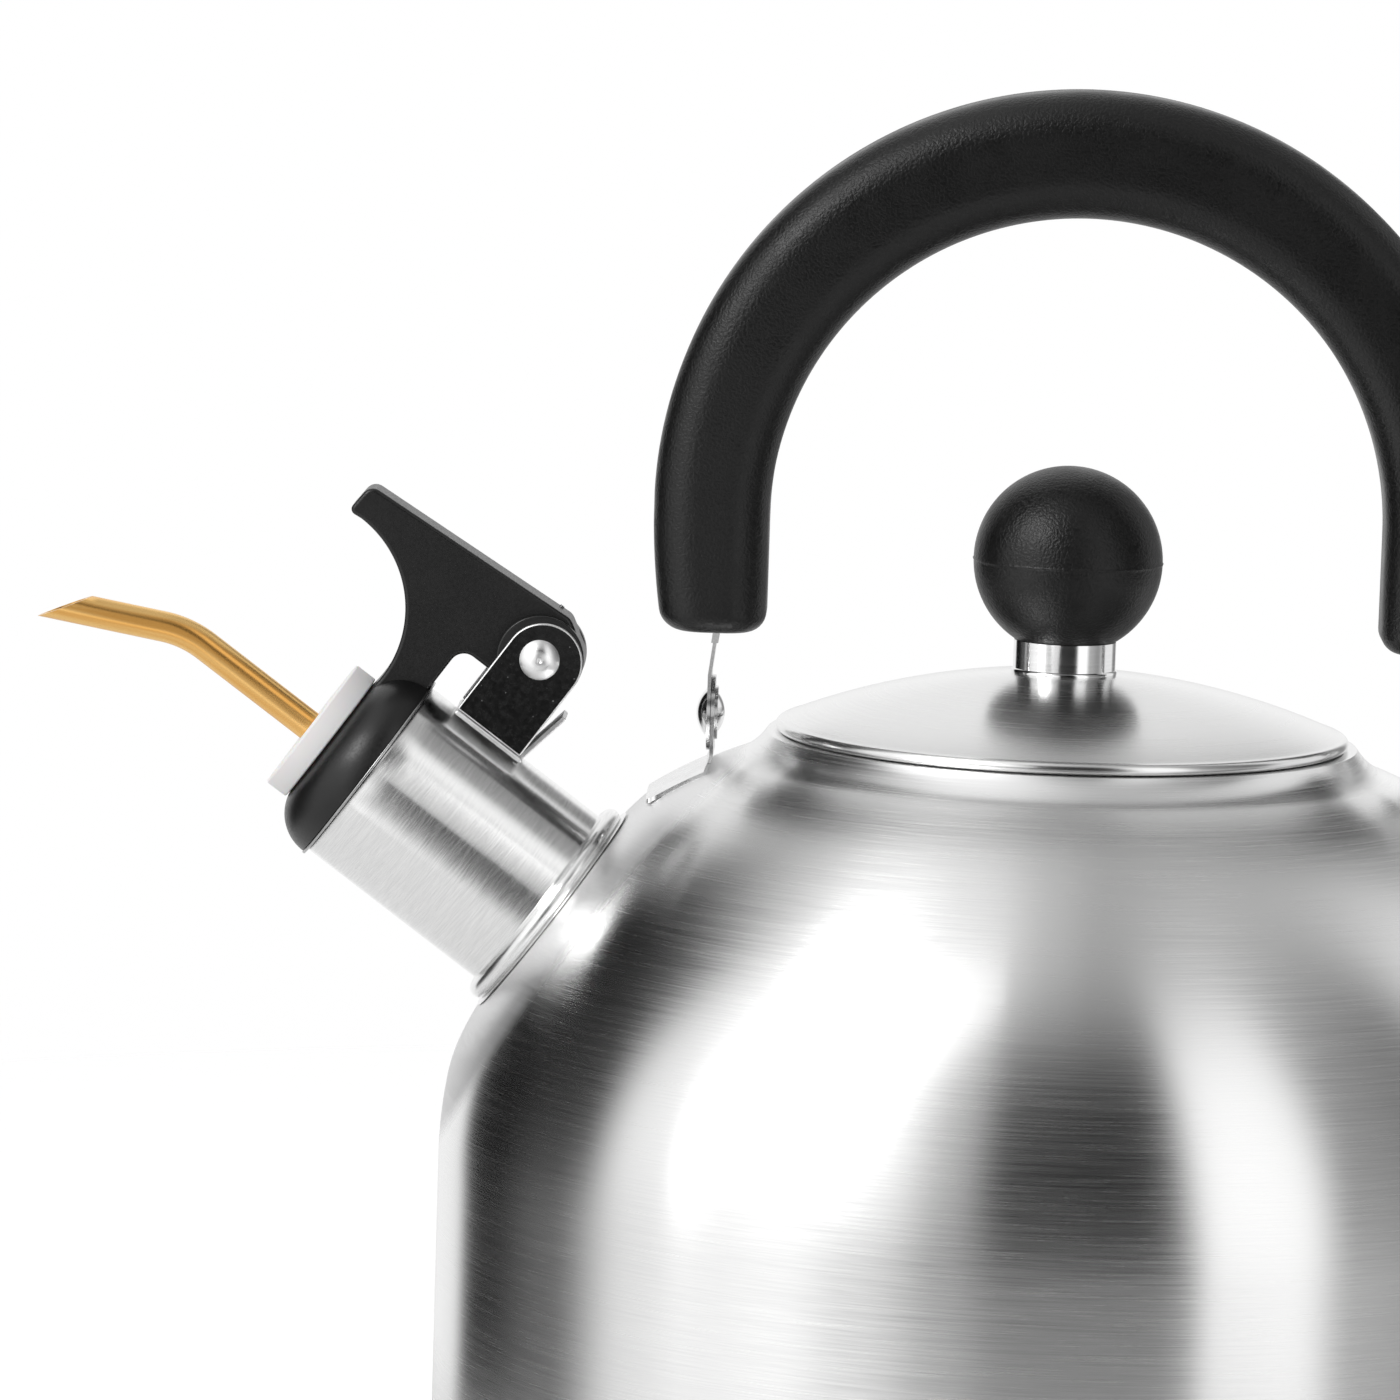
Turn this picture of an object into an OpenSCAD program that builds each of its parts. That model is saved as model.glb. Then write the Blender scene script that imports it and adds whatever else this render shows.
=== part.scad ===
// Stovetop whistling kettle, in millimetres.
// The origin is the centre of the base on the kettle's axis. +Z is up and the spout points to -X.
// Heights named *_z are above the table. The spout has its own frame: s runs outward along its axis
// from the bead, t runs across it towards the handle, and y is the kettle's own Y.

/* [Body] */
// Outer radius of the body wall
body_r = 105; // [95:1:115]
// Height of the lid's edge above the table
rim_z = 135; // [125:1:150]
// Radius of the shoulder's arc
shoulder_r = 75; // [70:1:80]
// Radius of the concave collar under the lid
collar_r = 12; // [10:1:14]
// Thickness of the body's sheet
sheet = 0.8; // [0.6:0.1:1]
// Radius of the filler opening
mouth_r = 44.2; // [40:0.2:45]
// Height at which the wall meets the bottom pan
seam_z = 16; // [16:1:20]

/* [Base] */
// Thickness of the heat spreader with its cap
base_t = 4.2; // [3:0.2:5]
// Radius of the base cap
base_r = 90; // [80:1:94]

/* [Lid] */
// Outer radius of the lid
lid_r = 49.1; // [48.8:0.1:49.6]
// Height of the dome's top above the lid's edge
lid_rise = 11.6; // [10:0.2:13]
// Radius of the ball knob
knob_r = 16.2; // [14:0.1:17]
// Height of the ball's centre above the lid's edge
knob_h = 30.7; // [29:0.1:32]
// Outer radius of the knob's ferrule
ferrule_r = 8.8; // [8:0.2:9]

/* [Handle] */
// Distance of the handle's middle behind the lid's axis
handle_x = 1.2; // [0:0.1:1.5]
// Radius of the arch's outer edge
arch_out_r = 72.3; // [71:0.1:74]
// Radius of the arch's inner edge
arch_in_r = 52.5; // [52:0.1:54]
// Width of the grip from front to back of the kettle's side
grip_w = 23; // [20:0.5:25]
// Height of the legs' ends above the lid's edge
leg_end_h = 17; // [15:0.5:18]
// Height of the handle's pivots above the lid's edge
pivot_h = 2.4; // [2:0.2:4]
// Radius of the rivets' shanks
rivet_r = 2; // [1.5:0.1:2.5]

/* [Spout] */
// Angle of the spout above the horizontal
spout_angle = 36; // [34:1:40]
// Outer radius of the spout
spout_r = 17.5; // [17:0.1:18]
// Distance from the bead to the spout's mouth
spout_len = 38.3; // [37:0.1:39]
// Radius of the bead around the spout's foot
bead_r = 20.1; // [19:0.1:21]

/* [Whistle] */
// Distance of the hinge pin from the bead, along the spout
pin_s = 27.1; // [26:0.1:28]
// Distance of the hinge pin from the spout's axis
pin_t = 33.8; // [33:0.1:35]
// Radius of the hinge pin
pin_r = 1.6; // [1.4:0.1:1.8]
// Outer radius of the whistle cap
cap_r = 18.3; // [17.5:0.1:18.5]
// Width of the lever
lever_w = 9.5; // [8:0.5:10]
// Radius of the white stopper
stopper_r = 12.7; // [11:0.1:13]
// Outer radius of the brass nozzle
nozzle_r = 2.65; // [2.4:0.05:3]
// Angle by which the nozzle bends down
nozzle_bend = 26; // [20:1:30]

/* [Hidden] */
$fn = 96;

far = 400; // longer than anything in the kettle
play = 0.06; // radial clearance of a bore that turns on its pin
gap = 0.1; // space between plates that slide on each other

// Body
dome_x = body_r - shoulder_r;
dome_z = rim_z - shoulder_r;
seat_z = rim_z - 0.05; // the lid rests on the collar's flat top
neck_x = 48.8; // the collar's arc would be upright at this radius
fillet_x = neck_x + collar_r;
fillet_z = dome_z + sqrt(pow(shoulder_r + collar_r, 2) - pow(fillet_x - dome_x, 2));
lip_h = 5;
pan_r = 10;

// Spout
foot_lat = 36.7; // where the spout stands on the shoulder's arc, above the horizontal
foot_sink = 3.04; // how far its s = 0 lies below the arc
spout_x = -(dome_x + (shoulder_r - foot_sink) * cos(foot_lat));
spout_z = dome_z + (shoulder_r - foot_sink) * sin(foot_lat);
seat_s = -1.4; // the flat seat pressed into the shoulder
bead_thick = 3.2;
bead_s = 0.3;

// Handle and its pivots
arch_out_h = 38.8;
arch_in_h = 37;
lobe = 10.9; // how far each half of the grip's section reaches across it
grip_round = 7.5;
leg_bend_r = 125;
leg_round = 3.5;
pivot_x = 61.5; // from the handle's middle to the plane between strap and bracket
pivot_z = rim_z + pivot_h;
plate = 0.6;
eye_r = 6.5;
washer_r = 4.6;
washer_t = 0.5;
rivet_head_r = 4.2;
rivet_head_h = 1.8;
rivet_tail_r = 3.4;
rivet_tail_h = 1.2;
foot_w = 23;
foot_len = 10.2;
foot_start = 1; // from the upright's inner face to the foot
foot_round = 2.2;
foot_h = 30; // the foot is cut from a block that starts this far below the lid's edge
web_bend_z = pivot_z - 6.9; // the upright leans out below this
web_lean = 22;
strap_bend_z = pivot_z + 7; // the strap leans in above this
strap_lean = 7;
web_wide_h = 4.6; // the upright is as wide as its foot up to here below the lid's edge
web_notch_r = foot_w / 2 - eye_r - 4.5;
tang_w = 11;
tang_h = 16;

// Lid
hem_r = 1;
hem_x = lid_r - hem_r;
dome_rise = lid_rise - 2 * hem_r;
lid_dome_r = (pow(hem_x, 2) + pow(dome_rise, 2)) / (2 * dome_rise);
lid_dome_z = rim_z + lid_rise - lid_dome_r;
lid_sheet = 0.6;
skirt_r = mouth_r - 0.6;
skirt_h = 12;
drain_r = 1.5; // holes in the skirt
ferrule_t = 1;
ferrule_top = rim_z + knob_h - sqrt(pow(knob_r, 2) - pow(ferrule_r, 2)) + 0.1;
neck_h = 8;
screw_r = 2;
screw_h = 29.6; // above the lid's edge
screw_head_r = 4;
screw_head_h = 2.4;
slot_w = 0.8;
knob_washer_r = 6;
knob_washer_t = 1;
washer_z = rim_z + lid_rise - lid_sheet - knob_washer_t - 0.15; // its rim touches the dome's inside

// Whistle
disc_s = spout_len + 0.1;
disc_t = 0.5;
disc_r = cap_r + 0.3;
disc_hole_r = 3;
cup_r = spout_r - sheet - 0.5;
cup_depth = 1.8;
cup_t = 0.5;
cup_hole_r = 2.5;
cap_s = disc_s + disc_t;
cap_front_s = cap_s + 8.1;
cap_round = 8;
chamber_r = 14.5;
wall_s = cap_front_s - 3.5; // back of the cap's front wall
ear_in = 6.8;
ear_t = 0.9;
ear_out = ear_in + ear_t;
ear_s0 = pin_s - 7.5;
ear_s1 = pin_s + 6;
strip_t = 0.9; // the bracket's flat base along the spout
weld_w = 6; // width of the weld that joins the base to the round tube
tab_s = ear_s0 - 0.8;
tab_w = 9;
tab_h = 11;
tab_lean = 10;
pin_over = 0.5; // how far the pin's shank goes into each head
pin_head_r = 3.45;
pin_head_h = 1.5;
dimple_r = 0.9;
dimple_out = 1.9;
lug_r = 7.5;
lug_top = 8.5; // from the pin up to the lever's flat top
lug_play = 0.3;
lug_over = 1.5; // how far the wide part of the lug reaches along the lever
neck_t = 10;
tip_s = cap_front_s + 21.2;
tip_t = pin_t + 5.7;
hollow_r = 19.4; // the lever's concave underside
hollow_s = pin_s + 38.9;
hollow_t = pin_t - 19.3;
window_t = pin_t - 7; // top of the open space between the spout and the neck
stopper_s = cap_front_s + 4.1;
plug_r = 8;
plug_len = 5;
nozzle_t = -0.6; // the nozzle sits a little below the spout's axis
bend_r = 18;
bend_s = cap_front_s + 30.75; // where the nozzle's two straight runs would meet
nozzle_wall = 0.7;
tip_len = 26;
tip_mid = 21.4; // from the bend's corner to the middle of the slanting tip
tip_slant = 58.4;
tip_play = 0.02; // the tip's tube lies this far inside the bend's
wire_r = 0.5;
coil_play = 0.1;
coil_r = pin_r + play + coil_play + wire_r;
coil_pitch = 1.8 * wire_r;
coil_turns = 5;
pocket_w = 7;
pocket_play = 0.8;

// Places the children in the spout's frame: X becomes t and Z becomes s
module on_spout() {
    translate([spout_x, 0, spout_z])
        rotate([0, spout_angle - 90, 0])
            children();
}

// Draws a side outline given in (s, t) as a plate of width w across the spout
module side_plate(w) {
    on_spout()
        rotate([0, -90, -90])
            linear_extrude(w, center = true)
                children();
}

// A bar along Y through the whistle's hinge
module hinge_bar(r, w) {
    on_spout()
        translate([pin_t, 0, pin_s])
            rotate([90, 0, 0])
                cylinder(r = r, h = w, center = true);
}

// Right half of the body's outline, set in by t
module body_outline(t, top) {
    intersection() {
        union() {
            translate([0, seam_z])
                square([body_r - t, dome_z - seam_z]);
            translate([0, seam_z])
                square([dome_x, dome_z - seam_z + 1]);
            intersection() {
                translate([dome_x, dome_z])
                    circle(shoulder_r - t);
                translate([0, dome_z])
                    square(far);
            }
            difference() {
                polygon([[0, dome_z], [dome_x, dome_z], [fillet_x, fillet_z], [0, fillet_z]]);
                translate([fillet_x, fillet_z])
                    circle(collar_r + t);
            }
        }
        square([far, top]);
    }
}

// Solid bounded by the body's outer face, set in by t, with the flat seat for the spout
module body_solid(t, top) {
    difference() {
        rotate_extrude()
            body_outline(t, top);
        on_spout()
            translate([-far / 2, -far / 2, seat_s - t])
                cube(far);
    }
}

module ring(r_out, r_in, h) {
    difference() {
        cylinder(r = r_out, h = h);
        translate([0, 0, -1])
            cylinder(r = r_in, h = h + 2);
    }
}

// Square with the two corners at x1 rounded, from x0 to x1 and symmetric about y = 0
module round_ended_bar(x0, x1, w, r) {
    translate([x0, -w / 2])
        square([x1 - r - x0, w]);
    translate([x1 - r - 0.01, r - w / 2])
        square([r + 0.01, w - 2 * r]);
    for (side = [-1, 1])
        translate([x1 - r, side * (w / 2 - r)])
            circle(r);
}

// Dome of radius r and height h on the plane z = 0
module rivet_head(r, h) {
    dome_r = (r * r + h * h) / (2 * h);
    intersection() {
        translate([0, 0, h - dome_r])
            sphere(dome_r);
        cylinder(r = r + 1, h = h + 1);
    }
}

module body_shell() {
    neck_r = spout_r - sheet; // the spout is pushed over this neck
    color("silver")
        difference() {
            union() {
                difference() {
                    body_solid(0, seat_z);
                    body_solid(sheet, seat_z - sheet);
                    translate([0, 0, seam_z - 1])
                        cylinder(r = body_r - sheet, h = 2);
                    translate([0, 0, seat_z - 2])
                        cylinder(r = mouth_r, h = 4);
                }
                translate([0, 0, seat_z - lip_h])
                    ring(mouth_r + sheet, mouth_r, lip_h);
                on_spout()
                    translate([0, 0, seat_s - sheet])
                        cylinder(r = neck_r, h = 2 * bead_thick);
            }
            on_spout()
                cylinder(r = neck_r - sheet, h = 8 * bead_thick, center = true);
        }
}

module bottom_pan() {
    color("silver")
        rotate_extrude()
            difference() {
                pan_outline(0, seam_z);
                pan_outline(sheet, seam_z + 1);
            }
}

// Right half of the bottom pan's outline, set in by t
module pan_outline(t, top) {
    corner_z = base_t + pan_r;
    translate([0, base_t + t])
        square([body_r - pan_r, top - base_t - t]);
    translate([0, corner_z])
        square([body_r - t, top - corner_z]);
    intersection() {
        translate([body_r - pan_r, corner_z])
            circle(pan_r - t);
        square([far, corner_z]);
    }
}

module heat_spreader() {
    color("gainsboro")
        translate([0, 0, sheet])
            cylinder(r = base_r - sheet, h = base_t - sheet);
}

module base_cap() {
    color("silver")
        difference() {
            cylinder(r = base_r, h = base_t);
            translate([0, 0, sheet])
                cylinder(r = base_r - sheet, h = base_t);
        }
}

module spout_tube() {
    color("lightgray")
        on_spout()
            rotate_extrude() {
                translate([spout_r - sheet, seat_s])
                    square([sheet, spout_len - seat_s]);
                intersection() {
                    translate([bead_r - bead_thick / 2, bead_s])
                        circle(bead_thick / 2);
                    translate([spout_r - sheet / 2, 0])
                        square(far);
                }
                translate([spout_r - sheet / 2, seat_s])
                    square([bead_r - spout_r, 0.5]);
            }
}

// Puts a part drawn outside a pivot, with +X away from the handle's middle, at the front or the back
module at_pivot(side) {
    translate([handle_x, 0, 0])
        mirror([side < 0 ? 1 : 0, 0, 0])
            children();
}

// The kettle's body as seen from a pivot's own frame
module body_from_pivot(side, t) {
    translate([-side * handle_x, 0, 0])
        body_solid(t, seat_z);
}

// A foot that follows the shoulder, and an upright with an eye for the rivet
module bracket(side) {
    web_x = pivot_x - gap / 2 - plate;
    low_z = rim_z - foot_h;
    color("silver")
        at_pivot(side)
            difference() {
                union() {
                    intersection() {
                        body_from_pivot(side, -plate);
                        translate([web_x + foot_start, 0, low_z])
                            linear_extrude(foot_h)
                                round_ended_bar(0, foot_len, foot_w, foot_round);
                    }
                    bent_plate(web_x, plate, [low_z, web_bend_z, pivot_z + 2 * eye_r],
                               (web_bend_z - low_z) * tan(web_lean), 0)
                        bracket_web();
                }
                body_from_pivot(side, 0);
                translate([0, 0, pivot_z])
                    rotate([0, 90, 0])
                        cylinder(r = rivet_r, h = far);
            }
}

// A plate of thickness t with the children's outline, shifted at its low and high ends to lean there
module bent_plate(x, t, z, low, high) {
    intersection() {
        rotate([90, 0, 0])
            linear_extrude(far, center = true)
                polygon([
                    [x + low, z[0]], [x + low + t, z[0]], [x + t, z[1]],
                    [x + t + high, z[2]], [x + high, z[2]], [x, z[1]]
                ]);
        rotate([90, 0, 90])
            linear_extrude(far)
                children();
    }
}

// The bracket's upright: wide at the foot and round about the pivot
module bracket_web() {
    wide_z = rim_z - web_wide_h;
    difference() {
        union() {
            translate([0, pivot_z])
                circle(eye_r);
            translate([-eye_r, rim_z - foot_h])
                square([2 * eye_r, pivot_z - rim_z + foot_h]);
            translate([-foot_w / 2, rim_z - foot_h])
                square([foot_w, foot_h - web_wide_h]);
        }
        for (side = [-1, 1])
            translate([side * foot_w / 2, wide_z])
                circle(web_notch_r);
    }
}

// Shank through strap and bracket, a domed head outside and a peened tail inside
module rivet(side) {
    tail_x = pivot_x - gap / 2 - plate - washer_t;
    head_x = pivot_x + 1.5 * gap + plate;
    color("gainsboro")
        at_pivot(side)
            translate([0, 0, pivot_z])
                rotate([0, 90, 0]) {
                    translate([0, 0, tail_x - rivet_tail_h / 2])
                        cylinder(r = rivet_r, h = head_x - tail_x + rivet_tail_h);
                    translate([0, 0, head_x])
                        rivet_head(rivet_head_r, rivet_head_h);
                    translate([0, 0, tail_x])
                        mirror([0, 0, 1])
                            rivet_head(rivet_tail_r, rivet_tail_h);
                }
}

module rivet_washer(side) {
    color("silver")
        at_pivot(side)
            translate([pivot_x - gap / 2 - plate - washer_t, 0, pivot_z])
                rotate([0, 90, 0])
                    ring(washer_r, rivet_r, washer_t);
}

// The strap that hangs from a leg of the handle and turns on the rivet
module strap_solid() {
    strap_x = pivot_x + gap / 2;
    collar_z = rim_z + leg_end_h - 2;
    z = [pivot_z - 2 * eye_r, strap_bend_z, rim_z + leg_end_h + 2 * tang_h];
    shift = -(z[2] - strap_bend_z) * tan(strap_lean);
    bent_plate(strap_x, plate, z, 0, shift)
        strap_outline();
    bent_plate(strap_x - 0.3, plate + 0.6, z, 0, shift)
        translate([-tang_w / 2, collar_z])
            square([tang_w, 8]);
}

module strap_outline() {
    translate([0, pivot_z])
        circle(eye_r);
    translate([-tang_w / 2, pivot_z])
        square([tang_w, rim_z + leg_end_h + tang_h - pivot_z]);
}

module strap(side) {
    color("silver")
        at_pivot(side)
            difference() {
                strap_solid();
                translate([0, 0, pivot_z])
                    rotate([0, 90, 0])
                        cylinder(r = rivet_r + play, h = far);
            }
}

// Section of the grip outside or inside the line where its two halves overlap
module outer_lobe(r) {
    round_ended_bar(r - lobe, r, grip_w, grip_round);
}

module inner_lobe(r) {
    translate([2 * r + lobe, 0])
        mirror([1, 0])
            round_ended_bar(r, r + lobe, grip_w, grip_round);
}

// Outline with its two bottom corners rounded, from x0 to x1 at height z0 and open above
module leg_end_outline(x0, x1, z0) {
    translate([-far, z0 + leg_round])
        square(2 * far);
    translate([x0 + leg_round, z0])
        square([x1 - x0 - 2 * leg_round, far]);
    for (x = [x0 + leg_round, x1 - leg_round])
        translate([x, z0 + leg_round])
            circle(leg_round);
}

// Half of the grip: a quarter of the arch and one leg
module grip_leg() {
    end_z = rim_z + leg_end_h;
    end_out = arch_out_r - pow(arch_out_h - leg_end_h, 2) / (2 * leg_bend_r);
    intersection() {
        union() {
            translate([0, 0, rim_z + arch_out_h])
                rotate([90, 0, 0])
                    rotate_extrude(angle = 90)
                        outer_lobe(arch_out_r);
            translate([0, 0, rim_z + arch_in_h])
                rotate([90, 0, 0])
                    rotate_extrude(angle = 90)
                        inner_lobe(arch_in_r);
            translate([arch_out_r - leg_bend_r, 0, rim_z + arch_out_h])
                mirror([0, 0, 1])
                    rotate([90, 0, 0])
                        rotate_extrude(angle = 10)
                            outer_lobe(leg_bend_r);
            translate([0, 0, end_z])
                linear_extrude(arch_in_h - leg_end_h)
                    inner_lobe(arch_in_r);
        }
        rotate([90, 0, 0])
            linear_extrude(far, center = true)
                leg_end_outline(arch_in_r, end_out, end_z);
        rotate([90, 0, 90])
            linear_extrude(far)
                leg_end_outline(-grip_w / 2, grip_w / 2, end_z);
    }
}

module handle_grip() {
    color("#232323")
        for (side = [-1, 1])
            at_pivot(side)
                difference() {
                    grip_leg();
                    strap_solid();
                }
}

// Lid
module lid_cover() {
    color("silver")
        difference() {
            union() {
                intersection() {
                    difference() {
                        translate([0, 0, lid_dome_z])
                            sphere(lid_dome_r, $fn = 200);
                        translate([0, 0, lid_dome_z])
                            sphere(lid_dome_r - lid_sheet, $fn = 200);
                    }
                    translate([0, 0, rim_z])
                        cylinder(r = hem_x, h = far);
                }
                translate([0, 0, rim_z + hem_r])
                    rotate_extrude()
                        translate([hem_x, 0])
                            circle(hem_r);
            }
            translate([0, 0, rim_z])
                cylinder(r = screw_r, h = far);
        }
}

module lid_skirt() {
    flange_r = lid_r - 2 * hem_r;
    color("silver")
        difference() {
            union() {
                translate([0, 0, rim_z - skirt_h])
                    ring(skirt_r, skirt_r - lid_sheet, skirt_h + 1);
                translate([0, 0, rim_z + 1])
                    ring(flange_r, skirt_r - lid_sheet, lid_sheet);
            }
            translate([0, 0, rim_z - skirt_h / 2])
                for (turn = [0:120:240])
                    rotate([0, 90, turn])
                        cylinder(r = drain_r, h = far);
        }
}

module knob_ferrule() {
    color("white")
        difference() {
            translate([0, 0, rim_z + lid_rise - 1])
                ring(ferrule_r, ferrule_r - ferrule_t, ferrule_top - rim_z - lid_rise + 1);
            translate([0, 0, lid_dome_z])
                sphere(lid_dome_r, $fn = 200);
            translate([0, 0, rim_z + knob_h])
                sphere(knob_r);
        }
}

module lid_knob() {
    color("#232323")
        difference() {
            union() {
                translate([0, 0, rim_z + knob_h])
                    sphere(knob_r);
                translate([0, 0, rim_z + lid_rise - 1])
                    cylinder(r = ferrule_r - ferrule_t, h = neck_h);
            }
            translate([0, 0, lid_dome_z])
                sphere(lid_dome_r, $fn = 200);
            translate([0, 0, rim_z])
                cylinder(r = screw_r, h = screw_h);
        }
}

module knob_washer() {
    color("silver")
        translate([0, 0, washer_z])
            ring(knob_washer_r, screw_r, knob_washer_t);
}

module knob_screw() {
    color("gray")
        difference() {
            union() {
                translate([0, 0, washer_z])
                    cylinder(r = screw_r, h = rim_z + screw_h - washer_z);
                translate([0, 0, washer_z])
                    mirror([0, 0, 1])
                        rivet_head(screw_head_r, screw_head_h);
            }
            for (turn = [0, 90])
                rotate(turn)
                    translate([-screw_r, -slot_w / 2, washer_z - 1.2 * screw_head_h])
                        cube([2 * screw_r, slot_w, 0.7 * screw_head_h]);
        }
}

// Whistle
module whistle_bracket() {
    color("dimgray")
        difference() {
            union() {
                side_plate(2 * ear_out - 0.2)
                    translate([tab_s, spout_r])
                        square([ear_s1 - tab_s, strip_t]);
                side_plate(weld_w)
                    translate([tab_s + 1, spout_r - 1])
                        square([ear_s1 - tab_s - 2, 1.1]);
                for (side = [-1, 1])
                    translate([0, side * (ear_in + ear_t / 2), 0])
                        side_plate(ear_t)
                            ear_outline();
                side_plate(tab_w)
                    translate([tab_s + 0.2, spout_r - 0.3])
                        rotate(tab_lean)
                            square([ear_t, tab_h]);
            }
            on_spout()
                cylinder(r = spout_r, h = far);
            hinge_bar(pin_r, far);
        }
}

module ear_outline() {
    ear_r = (ear_s1 - ear_s0) / 2;
    translate([ear_s0, spout_r])
        square([2 * ear_r, pin_t - spout_r]);
    translate([ear_s0 + ear_r, pin_t])
        circle(ear_r);
}

module whistle_pin() {
    color("gainsboro") {
        hinge_bar(pin_r, 2 * (ear_out + pin_over));
        for (side = [-1, 1])
            on_spout()
                translate([pin_t, side * ear_out, pin_s])
                    rotate([-90 * side, 0, 0])
                        difference() {
                            rivet_head(pin_head_r, pin_head_h);
                            translate([0, 0, dimple_out])
                                sphere(dimple_r);
                        }
    }
}

// Coil about the pin, one leg on the bracket's base and one through the top of the lever
module whistle_spring() {
    side_turn = (coil_turns - 1) / 2;
    leg_r = 0.8 * wire_r;
    leg_y = (side_turn + 0.5) * coil_pitch;
    color("darkgray")
        on_spout() {
            translate([pin_t, 0, pin_s])
                rotate([90, 0, 0])
                    rotate_extrude()
                        for (turn = [-side_turn - 0.5:side_turn + 0.5])
                            translate([coil_r, turn * coil_pitch])
                                circle(wire_r);
            translate([spout_r + strip_t, -leg_y, pin_s - coil_r])
                rotate([0, 90, 0])
                    cylinder(r = leg_r, h = pin_t - spout_r - strip_t + 0.2);
            translate([pin_t - 0.2, leg_y, pin_s + coil_r])
                rotate([0, 90, 0])
                    cylinder(r = leg_r, h = lug_top + 0.4);
        }
}

// Side outline of lever, hinge lug and neck, in (s, t)
module lever_outline() {
    difference() {
        union() {
            translate([pin_s, pin_t])
                circle(lug_r);
            polygon([
                [pin_s, pin_t + lug_top], [tip_s, tip_t], [tip_s, neck_t],
                [cap_s, neck_t], [cap_s, window_t], [pin_s, window_t],
                [pin_s - lug_r * sin(45), pin_t + lug_r * sin(45)]
            ]);
        }
        translate([hollow_s, hollow_t])
            circle(hollow_r);
        translate([hollow_s, -far])
            square([far, far + pin_t]);
    }
}

module whistle_lever() {
    color("#1c1c1c")
        difference() {
            union() {
                side_plate(lever_w)
                    lever_outline();
                side_plate(2 * (ear_in - lug_play))
                    intersection() {
                        lever_outline();
                        translate([pin_s, pin_t])
                            circle(lug_r + lug_over);
                    }
                on_spout()
                    rotate_extrude()
                        cap_outline();
            }
            on_spout() {
                translate([0, 0, cap_s])
                    cylinder(r = chamber_r, h = wall_s - cap_s);
                translate([0, 0, cap_s])
                    cylinder(r = plug_r, h = far);
            }
            hinge_bar(pin_r + play, far);
            spring_pocket();
        }
}

// Right half of the cap's outline, in (radius, s)
module cap_outline() {
    translate([0, cap_s])
        square([cap_r - cap_round, cap_front_s - cap_s]);
    intersection() {
        translate([cap_r - cap_round, cap_front_s - cap_round])
            circle(cap_round);
        translate([0, cap_s])
            square(far);
    }
}

// Room for the spring in the lug, open towards the bracket's base and back
module spring_pocket() {
    hinge_bar(pin_r + 2 * wire_r + pocket_play, pocket_w);
    side_plate(pocket_w)
        square([pin_s, pin_t]);
    on_spout()
        translate([pin_t, coil_turns / 2 * coil_pitch, pin_s + coil_r])
            rotate([0, 90, 0])
                cylinder(r = wire_r, h = 20);
}

module whistle_disc() {
    color("silver")
        on_spout()
            translate([0, 0, disc_s])
                ring(disc_r, disc_hole_r, disc_t);
}

module whistle_cup() {
    floor_s = disc_s - cup_depth;
    floor_r = cup_r - 1.6;
    color("silver")
        on_spout()
            rotate_extrude()
                polygon([
                    [cup_hole_r, floor_s], [floor_r, floor_s], [cup_r, disc_s],
                    [cup_r - 0.7, disc_s], [floor_r - 0.3, floor_s + cup_t],
                    [cup_hole_r, floor_s + cup_t]
                ]);
}

module nozzle_stopper() {
    color("#e9e5e4")
        on_spout()
            difference() {
                union() {
                    translate([0, 0, wall_s])
                        cylinder(r = plug_r, h = plug_len);
                    translate([0, 0, cap_front_s])
                        cylinder(r = stopper_r, h = stopper_s - cap_front_s);
                }
                translate([nozzle_t, 0, 0])
                    cylinder(r = nozzle_r, h = far);
            }
}

// Straight tube, bend and slanting tip, each a length of the same tube
module steam_nozzle() {
    start_s = wall_s - 1;
    bend_start_s = bend_s - bend_r * tan(nozzle_bend / 2);
    bore_r = nozzle_r - nozzle_wall;
    color("#c8923c")
        on_spout() {
            translate([nozzle_t, 0, start_s])
                ring(nozzle_r, bore_r, bend_start_s - start_s);
            translate([nozzle_t - bend_r, 0, bend_start_s]) {
                rotate([90, 0, 0])
                    rotate_extrude(angle = nozzle_bend)
                        translate([bend_r, 0])
                            difference() {
                                circle(nozzle_r);
                                circle(bore_r);
                            }
                rotate([0, -nozzle_bend, 0])
                    translate([bend_r, 0, 0])
                        nozzle_tip(nozzle_r - tip_play, bore_r + tip_play);
            }
        }
}

// Last run of the nozzle, cut on a slant
module nozzle_tip(out_r, bore_r) {
    mid = tip_mid - bend_r * tan(nozzle_bend / 2);
    difference() {
        ring(out_r, bore_r, tip_len);
        translate([0, 0, mid])
            rotate([0, tip_slant, 0])
                translate([-far / 2, -far / 2, 0])
                    cube(far);
    }
}

body_shell();
bottom_pan();
heat_spreader();
base_cap();
spout_tube();
bracket(-1);  // front_bracket
bracket(1);  // rear_bracket
rivet(-1);  // front_rivet
rivet(1);  // rear_rivet
rivet_washer(-1);  // front_washer
rivet_washer(1);  // rear_washer
whistle_bracket();
whistle_pin();
whistle_spring();
lid_cover();
lid_skirt();
knob_ferrule();
lid_knob();
knob_screw();
knob_washer();
handle_grip();
strap(-1);  // front_strap
strap(1);  // rear_strap
whistle_lever();
whistle_cup();
whistle_disc();
nozzle_stopper();
steam_nozzle();
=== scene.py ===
import math

import bmesh
import bpy
from mathutils import Matrix, Vector


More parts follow.
